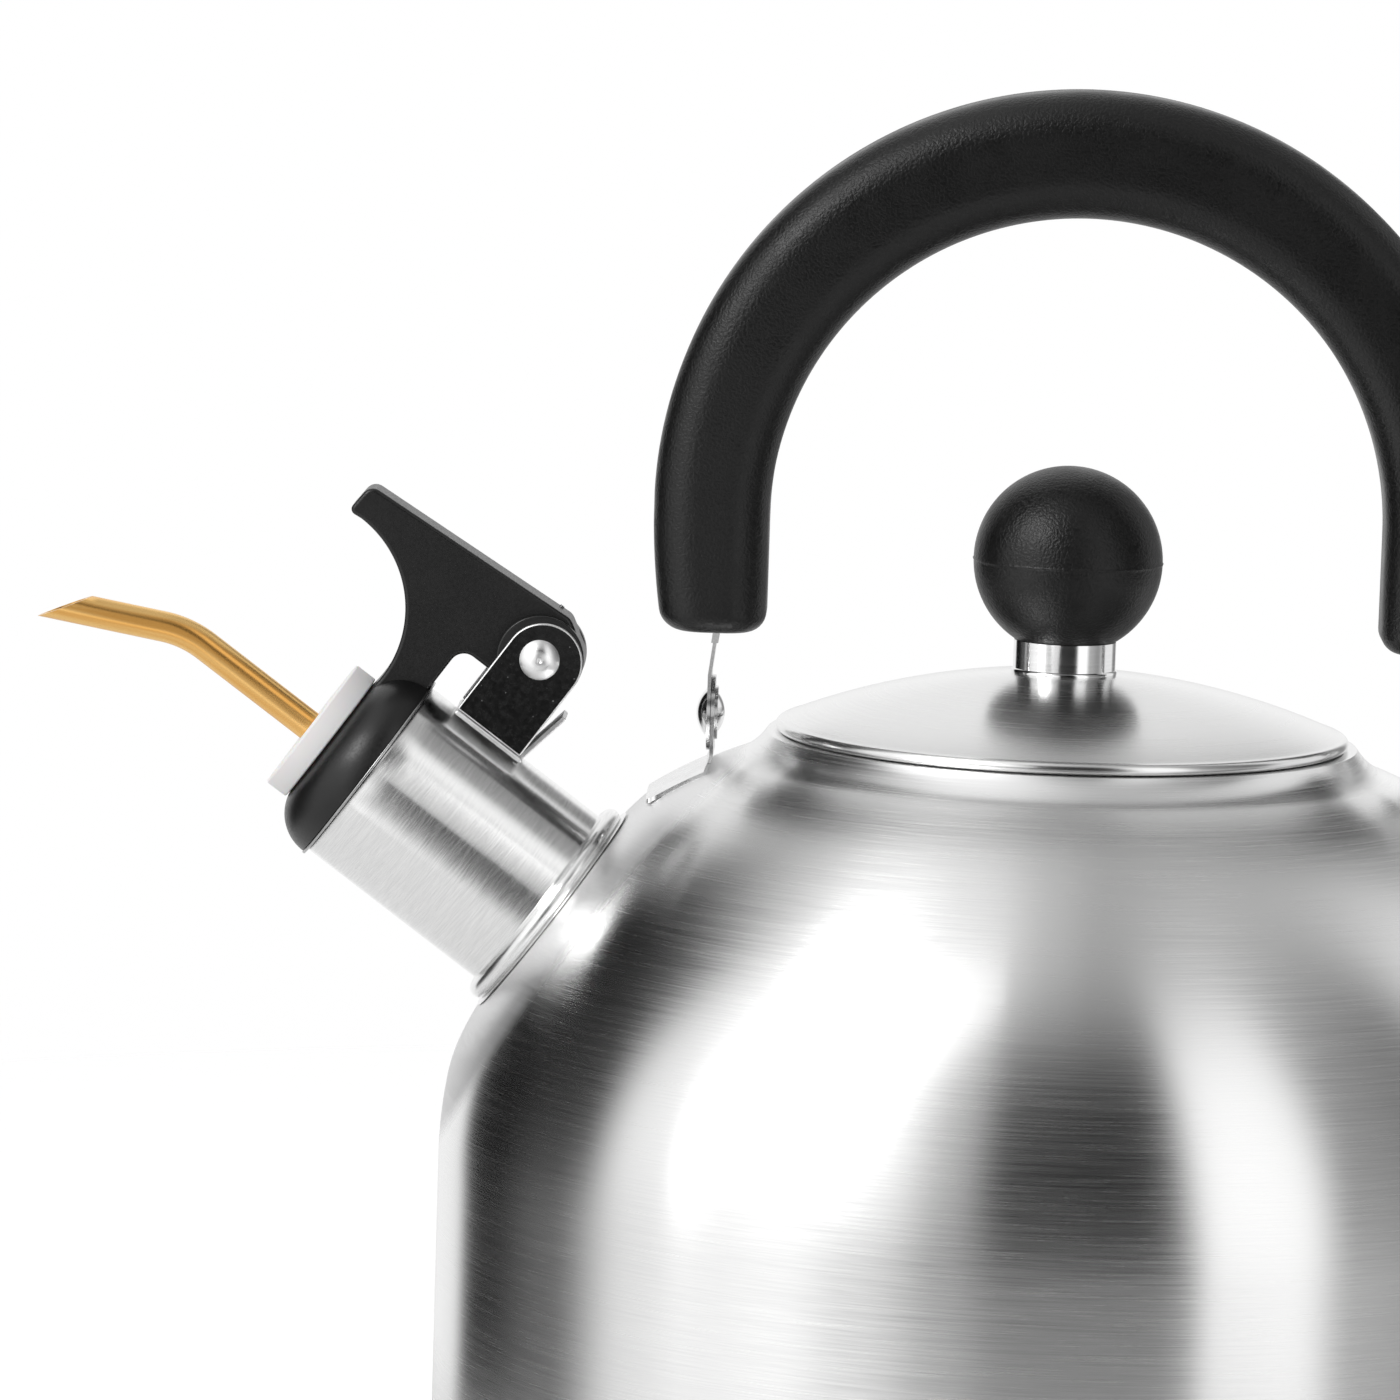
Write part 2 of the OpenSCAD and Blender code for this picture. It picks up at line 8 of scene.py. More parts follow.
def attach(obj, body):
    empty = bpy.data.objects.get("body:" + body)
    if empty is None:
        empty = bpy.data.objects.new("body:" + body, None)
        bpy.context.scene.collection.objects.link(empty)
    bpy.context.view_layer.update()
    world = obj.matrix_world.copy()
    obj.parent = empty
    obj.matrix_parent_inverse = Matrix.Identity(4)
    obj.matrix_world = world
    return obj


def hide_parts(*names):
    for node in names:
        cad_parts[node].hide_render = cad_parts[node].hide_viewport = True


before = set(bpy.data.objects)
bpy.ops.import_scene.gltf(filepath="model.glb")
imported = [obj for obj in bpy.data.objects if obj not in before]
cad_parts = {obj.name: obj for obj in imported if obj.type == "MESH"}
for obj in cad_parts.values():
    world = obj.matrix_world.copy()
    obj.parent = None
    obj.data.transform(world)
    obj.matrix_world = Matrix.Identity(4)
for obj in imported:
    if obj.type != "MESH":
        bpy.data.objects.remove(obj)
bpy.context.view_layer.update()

MM = 0.001

# Driving dimensions, in millimetres. Heights are above the table.
BODY_R = 105.0
RIM_Z = 135.0
DOME_R = 75.0
DOME_X = BODY_R - DOME_R
DOME_Z = RIM_Z - DOME_R
COLLAR_R = 12.0
COLLAR_X = 48.8 + COLLAR_R
COLLAR_Z = DOME_Z + math.sqrt((DOME_R + COLLAR_R) ** 2 - (COLLAR_X - DOME_X) ** 2)
SHEET = 0.8
BODY_TOP = RIM_Z - 0.05
MOUTH_R = 44.2
SEAM_Z = 16.0
PAN_R = 10.0
BASE_T = 4.2
BASE_R = 90.0

SPOUT_R = 17.5
SPOUT_LEN = 38.3
SPOUT_TILT = 36.0
SEAT_S = -1.4
BEAD_R = 20.1
BEAD_THICK = 3.2
# The spout's origin lies this far under the dome's skin, on a ray from the dome's centre
SPOUT_SINK = 3.04
SPOUT_RAY = math.radians(36.7)
SPOUT_X = -(DOME_X + (DOME_R - SPOUT_SINK) * math.cos(SPOUT_RAY))
SPOUT_Z = DOME_Z + (DOME_R - SPOUT_SINK) * math.sin(SPOUT_RAY)
# The body's metal in front of this plane belongs to the spout's side
SPOUT_SIDE_X = -20.0

LID_R = 49.1
HEM_R = 1.0
LID_RISE = 11.6
LID_SHEET = 0.6
LID_DOME_R = ((LID_R - HEM_R) ** 2 + (LID_RISE - 2 * HEM_R) ** 2) / (2 * (LID_RISE - 2 * HEM_R))
LID_DOME_Z = RIM_Z + LID_RISE - LID_DOME_R
KNOB_R = 16.2
KNOB_Z = RIM_Z + 30.7
FERRULE_R = 8.8
FERRULE_TOP = KNOB_Z - math.sqrt(KNOB_R ** 2 - FERRULE_R ** 2)

HANDLE_X = 1.2
ARCH_OUT_R = 72.3
ARCH_OUT_Z = RIM_Z + 38.8
ARCH_IN_R = 52.5
ARCH_IN_Z = RIM_Z + 37.0
GRIP_W = 23.0
GRIP_ROUND = 7.5
LEG_END_Z = RIM_Z + 17.0
LEG_BEND_R = 125.0
LEG_ROUND = 3.5

PIN_S = 27.1
PIN_T = 33.8
PIN_R = 1.6
LUG_R = 7.5
LUG_TOP = 8.5
EAR_IN = 6.8
EAR_T = 0.9
EAR_S0 = PIN_S - 7.5
EAR_S1 = PIN_S + 6.0
STRIP_T = 0.9
WELD_W = 6.0
LEVER_W = 9.5
SPRING_HALF = 3.5
CAP_R = 18.3
CAP_S = SPOUT_LEN + 0.6
CAP_FRONT_S = CAP_S + 8.1
CAP_ROUND = 8.0
CHAMBER_R = 14.5
WALL_S = CAP_FRONT_S - 3.5
TIP_S = CAP_FRONT_S + 21.2
TIP_T = PIN_T + 5.7
HOLLOW_R = 19.4
HOLLOW_S = PIN_S + 38.9
HOLLOW_T = PIN_T - 19.3
WINDOW_T = PIN_T - 7.0
STOPPER_R = 12.7
STOPPER_S = CAP_FRONT_S + 4.1
NOZZLE_R = 2.65
NOZZLE_WALL = 0.7
NOZZLE_T = -0.6
BEND_R = 18.0
BEND_S = CAP_FRONT_S + 30.75
BEND = math.radians(26.0)
TIP_MID = 21.4
TIP_SLANT = math.radians(58.4)
TUBE_STEPS = 40

# Things turned about the spout: local Z runs out along it, and local X up from it
SPOUT_TURN = math.radians(SPOUT_TILT - 90)
SPOUT = Matrix.Translation((SPOUT_X, 0, SPOUT_Z)) @ Matrix.Rotation(SPOUT_TURN, 4, "Y")


# Drawing in millimetres

def finish_object(name, mesh, place, sharp=38):
    """Puts a millimetre mesh in the scene in metres, smooth but for edges over the sharp angle."""
    mesh.validate()
    bm = bmesh.new()
    bm.from_mesh(mesh)
    bmesh.ops.recalc_face_normals(bm, faces=bm.faces)
    bm.to_mesh(mesh)
    bm.free()
    mesh.transform(Matrix.Scale(MM, 4))
    mesh.polygons.foreach_set("use_smooth", [True] * len(mesh.polygons))
    mesh.set_sharp_from_angle(angle=math.radians(sharp))
    obj = bpy.data.objects.new(name, mesh)
    bpy.context.scene.collection.objects.link(obj)
    moved = place.copy()
    moved.translation = moved.translation * MM
    obj.matrix_world = moved
    return obj


def arc(cx, cy, r, start, end, steps):
    """Points on an arc, angles in degrees."""
    out = []
    for i in range(steps + 1):
        a = math.radians(start + (end - start) * i / steps)
        out.append((cx + r * math.cos(a), cy + r * math.sin(a)))
    return out


def rounded(points, radii, steps=6):
    """A closed outline with its corners rounded by the given radii."""
    out = []
    n = len(points)
    for i, p in enumerate(points):
        r = radii[i] if isinstance(radii, (list, tuple)) else radii
        p = Vector(p)
        a = (Vector(points[i - 1]) - p)
        b = (Vector(points[(i + 1) % n]) - p)
        if r <= 0 or a.length < 1e-6 or b.length < 1e-6:
            out.append(tuple(p))
            continue
        la, lb = a.length, b.length
        a.normalize()
        b.normalize()
        half = math.acos(max(-1.0, min(1.0, a.dot(b)))) / 2
        if half > math.radians(88):
            out.append(tuple(p))
            continue
        back = min(r / math.tan(half), 0.49 * la, 0.49 * lb)
        r = back * math.tan(half)
        centre = p + (a + b).normalized() * (r / math.sin(half))
        v0 = p + a * back - centre
        v1 = p + b * back - centre
        turn = math.atan2(v0.x * v1.y - v0.y * v1.x, v0.dot(v1))
        for k in range(steps + 1):
            t = turn * k / steps
            out.append((centre.x + v0.x * math.cos(t) - v0.y * math.sin(t),
                        centre.y + v0.x * math.sin(t) + v0.y * math.cos(t)))
    return out


def split_long(points, longest, closed=True):
    """The same outline with long edges divided."""
    out = []
    last = len(points) if closed else len(points) - 1
    for i in range(last):
        p, q = Vector(points[i]), Vector(points[(i + 1) % len(points)])
        parts = max(1, math.ceil((q - p).length / longest))
        for k in range(parts):
            out.append(tuple(p.lerp(q, k / parts)))
    if not closed:
        out.append(tuple(points[-1]))
    return out


def lathe_mesh(name, profile, segments):
    """A closed profile of (radius, height) turned about Z."""
    verts, rings = [], []
    for r, z in profile:
        if abs(r) < 1e-6:
            rings.append([len(verts)] * segments)
            verts.append((0, 0, z))
        else:
            start = len(verts)
            for k in range(segments):
                a = 2 * math.pi * (k + 0.5) / segments
                verts.append((r * math.cos(a), r * math.sin(a), z))
            rings.append(list(range(start, start + segments)))
    faces = []
    count = len(rings)
    for i in range(count):
        lower, upper = rings[i], rings[(i + 1) % count]
        if lower[0] == lower[1] and upper[0] == upper[1]:
            continue
        for k in range(segments):
            m = (k + 1) % segments
            corners = [lower[k], lower[m], upper[m], upper[k]]
            face = [v for j, v in enumerate(corners) if v != corners[j - 1]]
            faces.append(face)
    mesh = bpy.data.meshes.new(name)
    mesh.from_pydata(verts, [], faces)
    return mesh


def lathe(name, profile, place=None, segments=128, sharp=38):
    return finish_object(name, lathe_mesh(name, profile, segments), place or Matrix.Identity(4), sharp)


def loft(name, rings, place=None, sharp=38, closed=False):
    """A skin through rings of points, capped at both ends unless the rings close on themselves."""
    n = len(rings[0])
    verts = [p for ring in rings for p in ring]
    faces = []
    for i in range(len(rings) if closed else len(rings) - 1):
        a, b = i * n, ((i + 1) % len(rings)) * n
        for k in range(n):
            m = (k + 1) % n
            faces.append((a + k, a + m, b + m, b + k))
    if not closed:
        faces.append(tuple(range(n))[::-1])
        faces.append(tuple(range((len(rings) - 1) * n, len(rings) * n)))
    mesh = bpy.data.meshes.new(name)
    mesh.from_pydata(verts, [], faces)
    return finish_object(name, mesh, place or Matrix.Identity(4), sharp)


def run_map(obj, around):
    """A UV map of a lofted tube: how far round it, and how many millimetres along it."""
    uv = obj.data.uv_layers.new(name="run")
    for face in obj.data.polygons:
        turns = [obj.data.loops[i].vertex_index % around for i in face.loop_indices]
        wraps = max(turns) - min(turns) > around / 2
        for i, k in zip(face.loop_indices, turns):
            v = obj.data.vertices[obj.data.loops[i].vertex_index]
            uv.data[i].uv = ((k + around if wraps and k < around / 2 else k) / around, v.co.z / MM)


def add_bevel(obj, width, segments):
    mod = obj.modifiers.new("edges", "BEVEL")
    mod.width = width * MM
    mod.segments = segments
    mod.limit_method = "ANGLE"
    mod.angle_limit = math.radians(50)
    mod.harden_normals = True
    return obj


def slab(name, outline, low, high, place, bevel=0.15, segments=2):
    """An outline in X and Y, from low to high along Z, with its edges eased."""
    verts = [(x, y, low) for x, y in outline] + [(x, y, high) for x, y in outline]
    n = len(outline)
    faces = [tuple(range(n))[::-1], tuple(range(n, 2 * n))]
    faces += [(k, (k + 1) % n, n + (k + 1) % n, n + k) for k in range(n)]
    mesh = bpy.data.meshes.new(name)
    mesh.from_pydata(verts, [], faces)
    obj = finish_object(name, mesh, place)
    return add_bevel(obj, bevel, segments) if bevel else obj


def settle(obj):
    """Applies the object's modifiers to its mesh."""
    graph = bpy.context.evaluated_depsgraph_get()
    mesh = bpy.data.meshes.new_from_object(obj.evaluated_get(graph))
    obj.modifiers.clear()
    old = obj.data
    obj.data = mesh
    bpy.data.meshes.remove(old)
    return obj


def cut(obj, tool):
    """Takes the tool's solid away from the object and deletes the tool."""
    mod = obj.modifiers.new("cut", "BOOLEAN")
    mod.operation = "DIFFERENCE"
    mod.solver = "EXACT"
    mod.object = tool
    bpy.context.view_layer.update()
    settle(obj)
    bpy.data.objects.remove(tool)
    return obj


# Plates across the spout are drawn in (s, t): X becomes s, Y becomes t, Z becomes -y
SIDE = SPOUT @ Matrix(((0, 1, 0, 0), (0, 0, -1, 0), (1, 0, 0, 0), (0, 0, 0, 1)))
# Things turned about the hinge: local Z runs towards the kettle's -Y
HINGE = SPOUT @ Matrix.Translation((PIN_T, 0, PIN_S)) @ Matrix.Rotation(math.radians(90), 4, "X")


# Material tools

def new_material(name):
    mat = bpy.data.materials.new(name)
    mat.use_nodes = True
    tree = mat.node_tree
    tree.nodes.clear()
    out = tree.nodes.new("ShaderNodeOutputMaterial")
    return mat, tree, out


def node(tree, kind, **settings):
    n = tree.nodes.new(kind)
    for key, value in settings.items():
        if key in n.inputs:
            n.inputs[key].default_value = value
        else:
            setattr(n, key, value)
    return n


def maths(tree, operation, a, b=None):
    n = tree.nodes.new("ShaderNodeMath")
    n.operation = operation
    for socket, value in zip(n.inputs, (a, b)):
        if value is None:
            continue
        if hasattr(value, "links"):
            tree.links.new(value, socket)
        else:
            socket.default_value = value
    return n.outputs[0]


def span(tree, value, low, high, to_low=0.0, to_high=1.0):
    """Runs softly from one value to the other while the input goes from low to high."""
    n = tree.nodes.new("ShaderNodeMapRange")
    n.interpolation_type = "SMOOTHSTEP"
    tree.links.new(value, n.inputs["Value"])
    n.inputs["From Min"].default_value = low
    n.inputs["From Max"].default_value = high
    n.inputs["To Min"].default_value = to_low
    n.inputs["To Max"].default_value = to_high
    return n.outputs["Result"]


def object_point(tree):
    """The point being shaded, in metres from the object's origin."""
    return tree.nodes.new("ShaderNodeTexCoord").outputs["Object"]


def spread(tree, noise, low=0.0, high=1.0):
    """Noise, most of which lies from 0.3 to 0.7, made to fill a range."""
    return span(tree, noise, 0.3, 0.7, low, high)


def parts_of(tree, point):
    """The X, Y and Z of a point."""
    split = tree.nodes.new("ShaderNodeSeparateXYZ")
    tree.links.new(point, split.inputs[0])
    return split.outputs


def radius_of(tree, x, y):
    squares = maths(tree, "ADD", maths(tree, "MULTIPLY", x, x), maths(tree, "MULTIPLY", y, y))
    return maths(tree, "SQRT", squares)


def stretched_noise(tree, point, along, across, detail=3.0):
    """Noise drawn out round the object's axis: along and across are its grain per metre."""
    scale = node(tree, "ShaderNodeVectorMath", operation="MULTIPLY")
    tree.links.new(point, scale.inputs[0])
    scale.inputs[1].default_value = (along, along, across)
    noise = node(tree, "ShaderNodeTexNoise", noise_dimensions="4D")
    noise.inputs["Scale"].default_value = 1.0
    noise.inputs["Detail"].default_value = detail
    noise.inputs["Roughness"].default_value = 0.6
    tree.links.new(scale.outputs[0], noise.inputs["Vector"])
    x, y = parts_of(tree, point)[:2]
    tree.links.new(maths(tree, "MULTIPLY", radius_of(tree, x, y), across), noise.inputs["W"])
    return noise.outputs["Fac"]


def plain_noise(tree, point, scale, detail=3.0):
    noise = node(tree, "ShaderNodeTexNoise")
    noise.inputs["Scale"].default_value = scale
    noise.inputs["Detail"].default_value = detail
    noise.inputs["Roughness"].default_value = 0.55
    tree.links.new(point, noise.inputs["Vector"])
    return noise.outputs["Fac"]


def bump(tree, height, strength, distance, under=None):
    b = tree.nodes.new("ShaderNodeBump")
    b.inputs["Strength"].default_value = strength
    b.inputs["Distance"].default_value = distance
    tree.links.new(height, b.inputs["Height"])
    if under is not None:
        tree.links.new(under, b.inputs["Normal"])
    return b.outputs["Normal"]


def colour_mix(tree, factor):
    """A mix of two colours: its two inputs and its output."""
    mix = node(tree, "ShaderNodeMix", data_type="RGBA")
    tree.links.new(factor, mix.inputs["Factor"])
    first, second = [s for s in mix.inputs if s.type == "RGBA"]
    result = [s for s in mix.outputs if s.type == "RGBA"][0]
    return first, second, result


def tint(tree, factor, dark, light):
    first, second, result = colour_mix(tree, factor)
    first.default_value = (*dark, 1)
    second.default_value = (*light, 1)
    return result


def shader(tree, colour=None, roughness=None, normal=None, **constants):
    p = tree.nodes.new("ShaderNodeBsdfPrincipled")
    for key, value in constants.items():
        p.inputs[key.replace("_", " ")].default_value = value
    for name, value in (("Base Color", colour), ("Roughness", roughness), ("Normal", normal)):
        if value is None:
            continue
        if hasattr(value, "links"):
            tree.links.new(value, p.inputs[name])
        else:
            p.inputs[name].default_value = value
    return p


def brushed(tree, point, low, high, anisotropy, along, across, lines, tone, depth):
    """Steel brushed round the object's Z axis, with darker lines down to depth times its tone."""
    fine = stretched_noise(tree, point, along, across)
    broad = stretched_noise(tree, point, along * 0.35, across * 0.16, 2.0)
    mixed = maths(tree, "ADD", maths(tree, "MULTIPLY", fine, 0.85), maths(tree, "MULTIPLY", broad, 0.15))
    colour = tint(tree, spread(tree, mixed), (tone * depth,) * 3, (tone, tone, tone * 0.995))
    roughness = spread(tree, mixed, low, high)
    normal = bump(tree, mixed, lines, 0.00012)
    p = shader(tree, colour, roughness, normal, Metallic=1.0, Anisotropic=anisotropy)
    p.inputs["Anisotropic Rotation"].default_value = 0.25
    tangent = node(tree, "ShaderNodeTangent", direction_type="RADIAL", axis="Z")
    tree.links.new(tangent.outputs[0], p.inputs["Tangent"])
    return p


def polished(tree, point, low, high, tone, wave):
    """Smooth pressed steel with a faint waviness and fine hairlines."""
    slow = plain_noise(tree, point, 55.0, 2.0)
    hair = stretched_noise(tree, point, 40.0, 2600.0)
    colour = tint(tree, spread(tree, hair), (tone * 0.95,) * 3, (tone,) * 3)
    roughness = spread(tree, hair, low, high)
    normal = bump(tree, slow, wave, 0.0006, bump(tree, hair, 0.05, 0.00006))
    return shader(tree, colour, roughness, normal, Metallic=1.0)


def blend_shaders(tree, factor, first, second):
    """The first shader where the factor is 0 and the second where it is 1."""
    mix = tree.nodes.new("ShaderNodeMixShader")
    tree.links.new(factor, mix.inputs[0])
    tree.links.new(first.outputs[0], mix.inputs[1])
    tree.links.new(second.outputs[0], mix.inputs[2])
    return mix


# Materials

# Radii in metres over which a smooth zone of the body gives way to the brushed wall
COLLAR_FADE = (0.0528, 0.0556)
FOOT_FADE = (0.0395, 0.0445)


def spout_distance(tree, xyz):
    """How far a point is from the spout's axis, in metres."""
    across = SPOUT.to_3x3() @ Vector((1, 0, 0))
    x = maths(tree, "SUBTRACT", xyz["X"], SPOUT_X * MM)
    z = maths(tree, "SUBTRACT", xyz["Z"], SPOUT_Z * MM)
    offset = maths(tree, "ADD", maths(tree, "MULTIPLY", x, across.x),
                   maths(tree, "MULTIPLY", z, across.z))
    return radius_of(tree, offset, xyz["Y"])


def body_steel():
    """Brushed wall and dome, smooth round the collar and round the foot of the spout."""
    mat, tree, out = new_material("body_steel")
    point = object_point(tree)
    xyz = parts_of(tree, point)
    wall = brushed(tree, point, 0.21, 0.28, anisotropy=0.93, along=55.0, across=4800.0, lines=0.025,
                   tone=0.9, depth=0.92)
    smooth = polished(tree, point, 0.20, 0.28, tone=0.92, wave=0.10)
    seat = polished(tree, point, 0.34, 0.42, tone=0.90, wave=0.10)
    past_collar = span(tree, radius_of(tree, xyz["X"], xyz["Y"]), *COLLAR_FADE)
    past_foot = span(tree, spout_distance(tree, xyz), *FOOT_FADE)
    behind = maths(tree, "GREATER_THAN", xyz["X"], SPOUT_SIDE_X * MM)
    round_foot = blend_shaders(tree, maths(tree, "MAXIMUM", past_foot, behind), seat, wall)
    finish = blend_shaders(tree, past_collar, smooth, round_foot)
    tree.links.new(finish.outputs[0], out.inputs["Surface"])
    return mat


def turned_steel(name, low, high, anisotropy=0.8, along=50.0, across=3800.0, lines=0.12, tone=0.9,
                 depth=0.86):
    """Steel turned or brushed round the object's own axis."""
    mat, tree, out = new_material(name)
    point = object_point(tree)
    p = brushed(tree, point, low, high, anisotropy, along, across, lines, tone, depth)
    tree.links.new(p.outputs[0], out.inputs["Surface"])
    return mat


def bright_steel(name, low, high, wave=0.12):
    """Polished steel for small turned pieces."""
    mat, tree, out = new_material(name)
    point = object_point(tree)
    p = polished(tree, point, low, high, tone=0.93, wave=wave)
    tree.links.new(p.outputs[0], out.inputs["Surface"])
    return mat


def stamped_steel(name, tone=0.8, low=0.2, high=0.34):
    """Sheet cut and bent, with fine scratches and small pits."""
    mat, tree, out = new_material(name)
    point = object_point(tree)
    pits = plain_noise(tree, point, 1800.0, 2.0)
    slow = plain_noise(tree, point, 260.0, 2.0)
    colour = tint(tree, span(tree, slow, 0.35, 0.7), (tone * 0.85,) * 3, (tone,) * 3)
    roughness = span(tree, slow, 0.35, 0.7, low, high)
    normal = bump(tree, pits, 0.10, 0.00008)
    p = shader(tree, colour, roughness, normal, Metallic=1.0)
    tree.links.new(p.outputs[0], out.inputs["Surface"])
    return mat


def phenolic():
    """Moulded black resin with a fine leathery grain."""
    mat, tree, out = new_material("black_phenolic")
    point = object_point(tree)
    coarse = plain_noise(tree, point, 2000.0, 2.0)
    slow = plain_noise(tree, point, 120.0, 2.0)
    grain = span(tree, coarse, 0.35, 0.65)
    colour = tint(tree, grain, (0.0012,) * 3, (0.0040, 0.0040, 0.0039))
    roughness = spread(tree, slow, 0.32, 0.40)
    normal = bump(tree, grain, 0.5, 0.00009)
    p = shader(tree, colour, roughness, normal)
    p.inputs["Specular IOR Level"].default_value = 0.42
    tree.links.new(p.outputs[0], out.inputs["Surface"])
    return mat


def nylon():
    """Satin black moulding of the whistle's cap and lever."""
    mat, tree, out = new_material("black_nylon")
    point = object_point(tree)
    fine = plain_noise(tree, point, 2400.0, 3.0)
    slow = plain_noise(tree, point, 150.0, 2.0)
    colour = tint(tree, spread(tree, slow), (0.0045,) * 3, (0.0070, 0.0069, 0.0068))
    roughness = spread(tree, fine, 0.30, 0.40)
    normal = bump(tree, fine, 0.2, 0.00008, bump(tree, slow, 0.06, 0.0004))
    p = shader(tree, colour, roughness, normal)
    tree.links.new(p.outputs[0], out.inputs["Surface"])
    return mat


def ear_black_specked():
    """Gloss black on the hinge ears' faces, with light grey specks in patches."""
    mat, tree, out = new_material("hinge_black")
    point = object_point(tree)
    speck_cells = node(tree, "ShaderNodeTexVoronoi", feature="F1")
    speck_cells.inputs["Scale"].default_value = 900.0
    tree.links.new(point, speck_cells.inputs["Vector"])
    speck = span(tree, speck_cells.outputs["Distance"], 0.06, 0.12)
    patchy = span(tree, plain_noise(tree, point, 320.0, 2.0), 0.5, 0.66, 1.0, 0.0)
    spot = maths(tree, "MAXIMUM", speck, patchy)
    colour = tint(tree, spot, (0.35, 0.35, 0.35), (0.008, 0.008, 0.008))
    wear = plain_noise(tree, point, 900.0, 2.0)
    roughness = spread(tree, wear, 0.16, 0.3)
    normal = bump(tree, wear, 0.08, 0.0001)
    p = shader(tree, colour, roughness, normal)
    tree.links.new(p.outputs[0], out.inputs["Surface"])
    return mat


def white_plastic():
    """Milky white moulding that lets a little light in."""
    mat, tree, out = new_material("stopper_plastic")
    point = object_point(tree)
    slow = plain_noise(tree, point, 90.0, 2.0)
    fine = plain_noise(tree, point, 1500.0, 3.0)
    colour = tint(tree, spread(tree, slow), (0.93, 0.915, 0.91), (0.95, 0.94, 0.935))
    roughness = spread(tree, fine, 0.42, 0.55)
    normal = bump(tree, fine, 0.08, 0.0001)
    p = shader(tree, colour, roughness, normal)
    p.inputs["Subsurface Weight"].default_value = 0.15
    p.inputs["Subsurface Scale"].default_value = 0.002
    tree.links.new(p.outputs[0], out.inputs["Surface"])
    return mat


def brass():
    """Satin golden brass, drawn lengthwise, with lighter and darker colour lines that are partly drawing
    marks and partly painted highlights.
    """
    mat, tree, out = new_material("nozzle_brass")
    run = tree.nodes.new("ShaderNodeUVMap")
    run.uv_map = "run"
    scale = node(tree, "ShaderNodeVectorMath", operation="MULTIPLY")
    tree.links.new(run.outputs["UV"], scale.inputs[0])
    scale.inputs[1].default_value = (9.0, 0.02, 1.0)
    drawn = node(tree, "ShaderNodeTexNoise")
    drawn.inputs["Scale"].default_value = 1.0
    drawn.inputs["Detail"].default_value = 1.5
    tree.links.new(scale.outputs[0], drawn.inputs["Vector"])
    lines = drawn.outputs["Fac"]
    # Lighter and darker lengthwise lines: partly drawing marks, partly painted highlight and shade bands
    colour = tint(tree, span(tree, lines, 0.35, 0.65), (0.80, 0.41, 0.10), (0.97, 0.62, 0.23))
    roughness = spread(tree, lines, 0.20, 0.28)
    normal = bump(tree, lines, 0.05, 0.0002)
    p = shader(tree, colour, roughness, normal, Metallic=0.8)
    tree.links.new(p.outputs[0], out.inputs["Surface"])
    return mat


def cast_aluminium():
    """Dull grained metal of the heat spreader."""
    mat, tree, out = new_material("spreader_aluminium")
    point = object_point(tree)
    grain = plain_noise(tree, point, 900.0, 3.0)
    colour = tint(tree, spread(tree, grain), (0.50, 0.51, 0.52), (0.62, 0.63, 0.64))
    normal = bump(tree, grain, 0.2, 0.0002)
    p = shader(tree, colour, spread(tree, grain, 0.4, 0.55), normal, Metallic=1.0)
    tree.links.new(p.outputs[0], out.inputs["Surface"])
    return mat


def dress(obj, *mats):
    """Gives the object these materials in place of its own."""
    obj.data.materials.clear()
    for mat in mats:
        obj.data.materials.append(mat)
    return obj


def place(obj, body, slot, *nodes):
    """Hangs a piece on a body, in place of CAD nodes; the slot is not used."""
    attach(obj, body)
    if nodes:
        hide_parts(*nodes)
    return obj


# Kettle

def press_seat(mesh, first_inner):
    """Presses the sheet round the spout onto a flat seat that runs softly into the dome."""
    inverse = SPOUT.inverted()
    blend = 3.0
    for v in mesh.vertices:
        if v.co.x > SPOUT_SIDE_X:
            continue
        level = SEAT_S - (SHEET if v.index >= first_inner else 0)
        p = inverse @ v.co
        if p.z < level - blend:
            continue
        h = max(blend - abs(p.z - level), 0) / blend
        p.z = min(p.z, level) - h * h * blend / 4
        v.co = SPOUT @ p


def wall_profile(t):
    """The body's side from the seam to the lid's seat, set in by t."""
    top = BODY_TOP - t
    lean = math.degrees(math.atan2(COLLAR_Z - DOME_Z, COLLAR_X - DOME_X))
    points = split_long([(BODY_R - t, SEAM_Z), (BODY_R - t, DOME_Z)], 3.0, closed=False)[:-1]
    points += arc(DOME_X, DOME_Z, DOME_R - t, 0, lean, 60)
    end = 180 + math.degrees(math.asin((COLLAR_Z - top) / (COLLAR_R + t)))
    points += arc(COLLAR_X, COLLAR_Z, COLLAR_R + t, 180 + lean, end, 16)[1:]
    return points


def make_body():
    """Wall, dome and collar of one sheet, open at the mouth and under the spout."""
    outer = wall_profile(0)
    inner = wall_profile(SHEET)
    top = BODY_TOP
    low = top - 5
    lip = [(MOUTH_R + 0.4, top), (MOUTH_R + 0.1, top - 0.1), (MOUTH_R, top - 0.4), (MOUTH_R, low),
           (MOUTH_R + SHEET, low), (MOUTH_R + SHEET, top - SHEET)]
    profile = outer + lip + inner[::-1]
    segments = 288
    mesh = lathe_mesh("body_shell_steel", profile, segments)
    press_seat(mesh, (len(outer) + len(lip)) * segments)
    body = finish_object("body_shell_steel", mesh, Matrix.Identity(4), 30)
    neck = SPOUT_R - 2 * SHEET
    reach = 12
    hole = lathe("hole", [(0, -reach), (neck, -reach), (neck, reach), (0, reach)], SPOUT, 96)
    cut(body, hole)
    body.data.polygons.foreach_set("use_smooth", [True] * len(body.data.polygons))
    dress(body, body_steel())
    return place(body, "kettle", "body_steel", "body_shell")


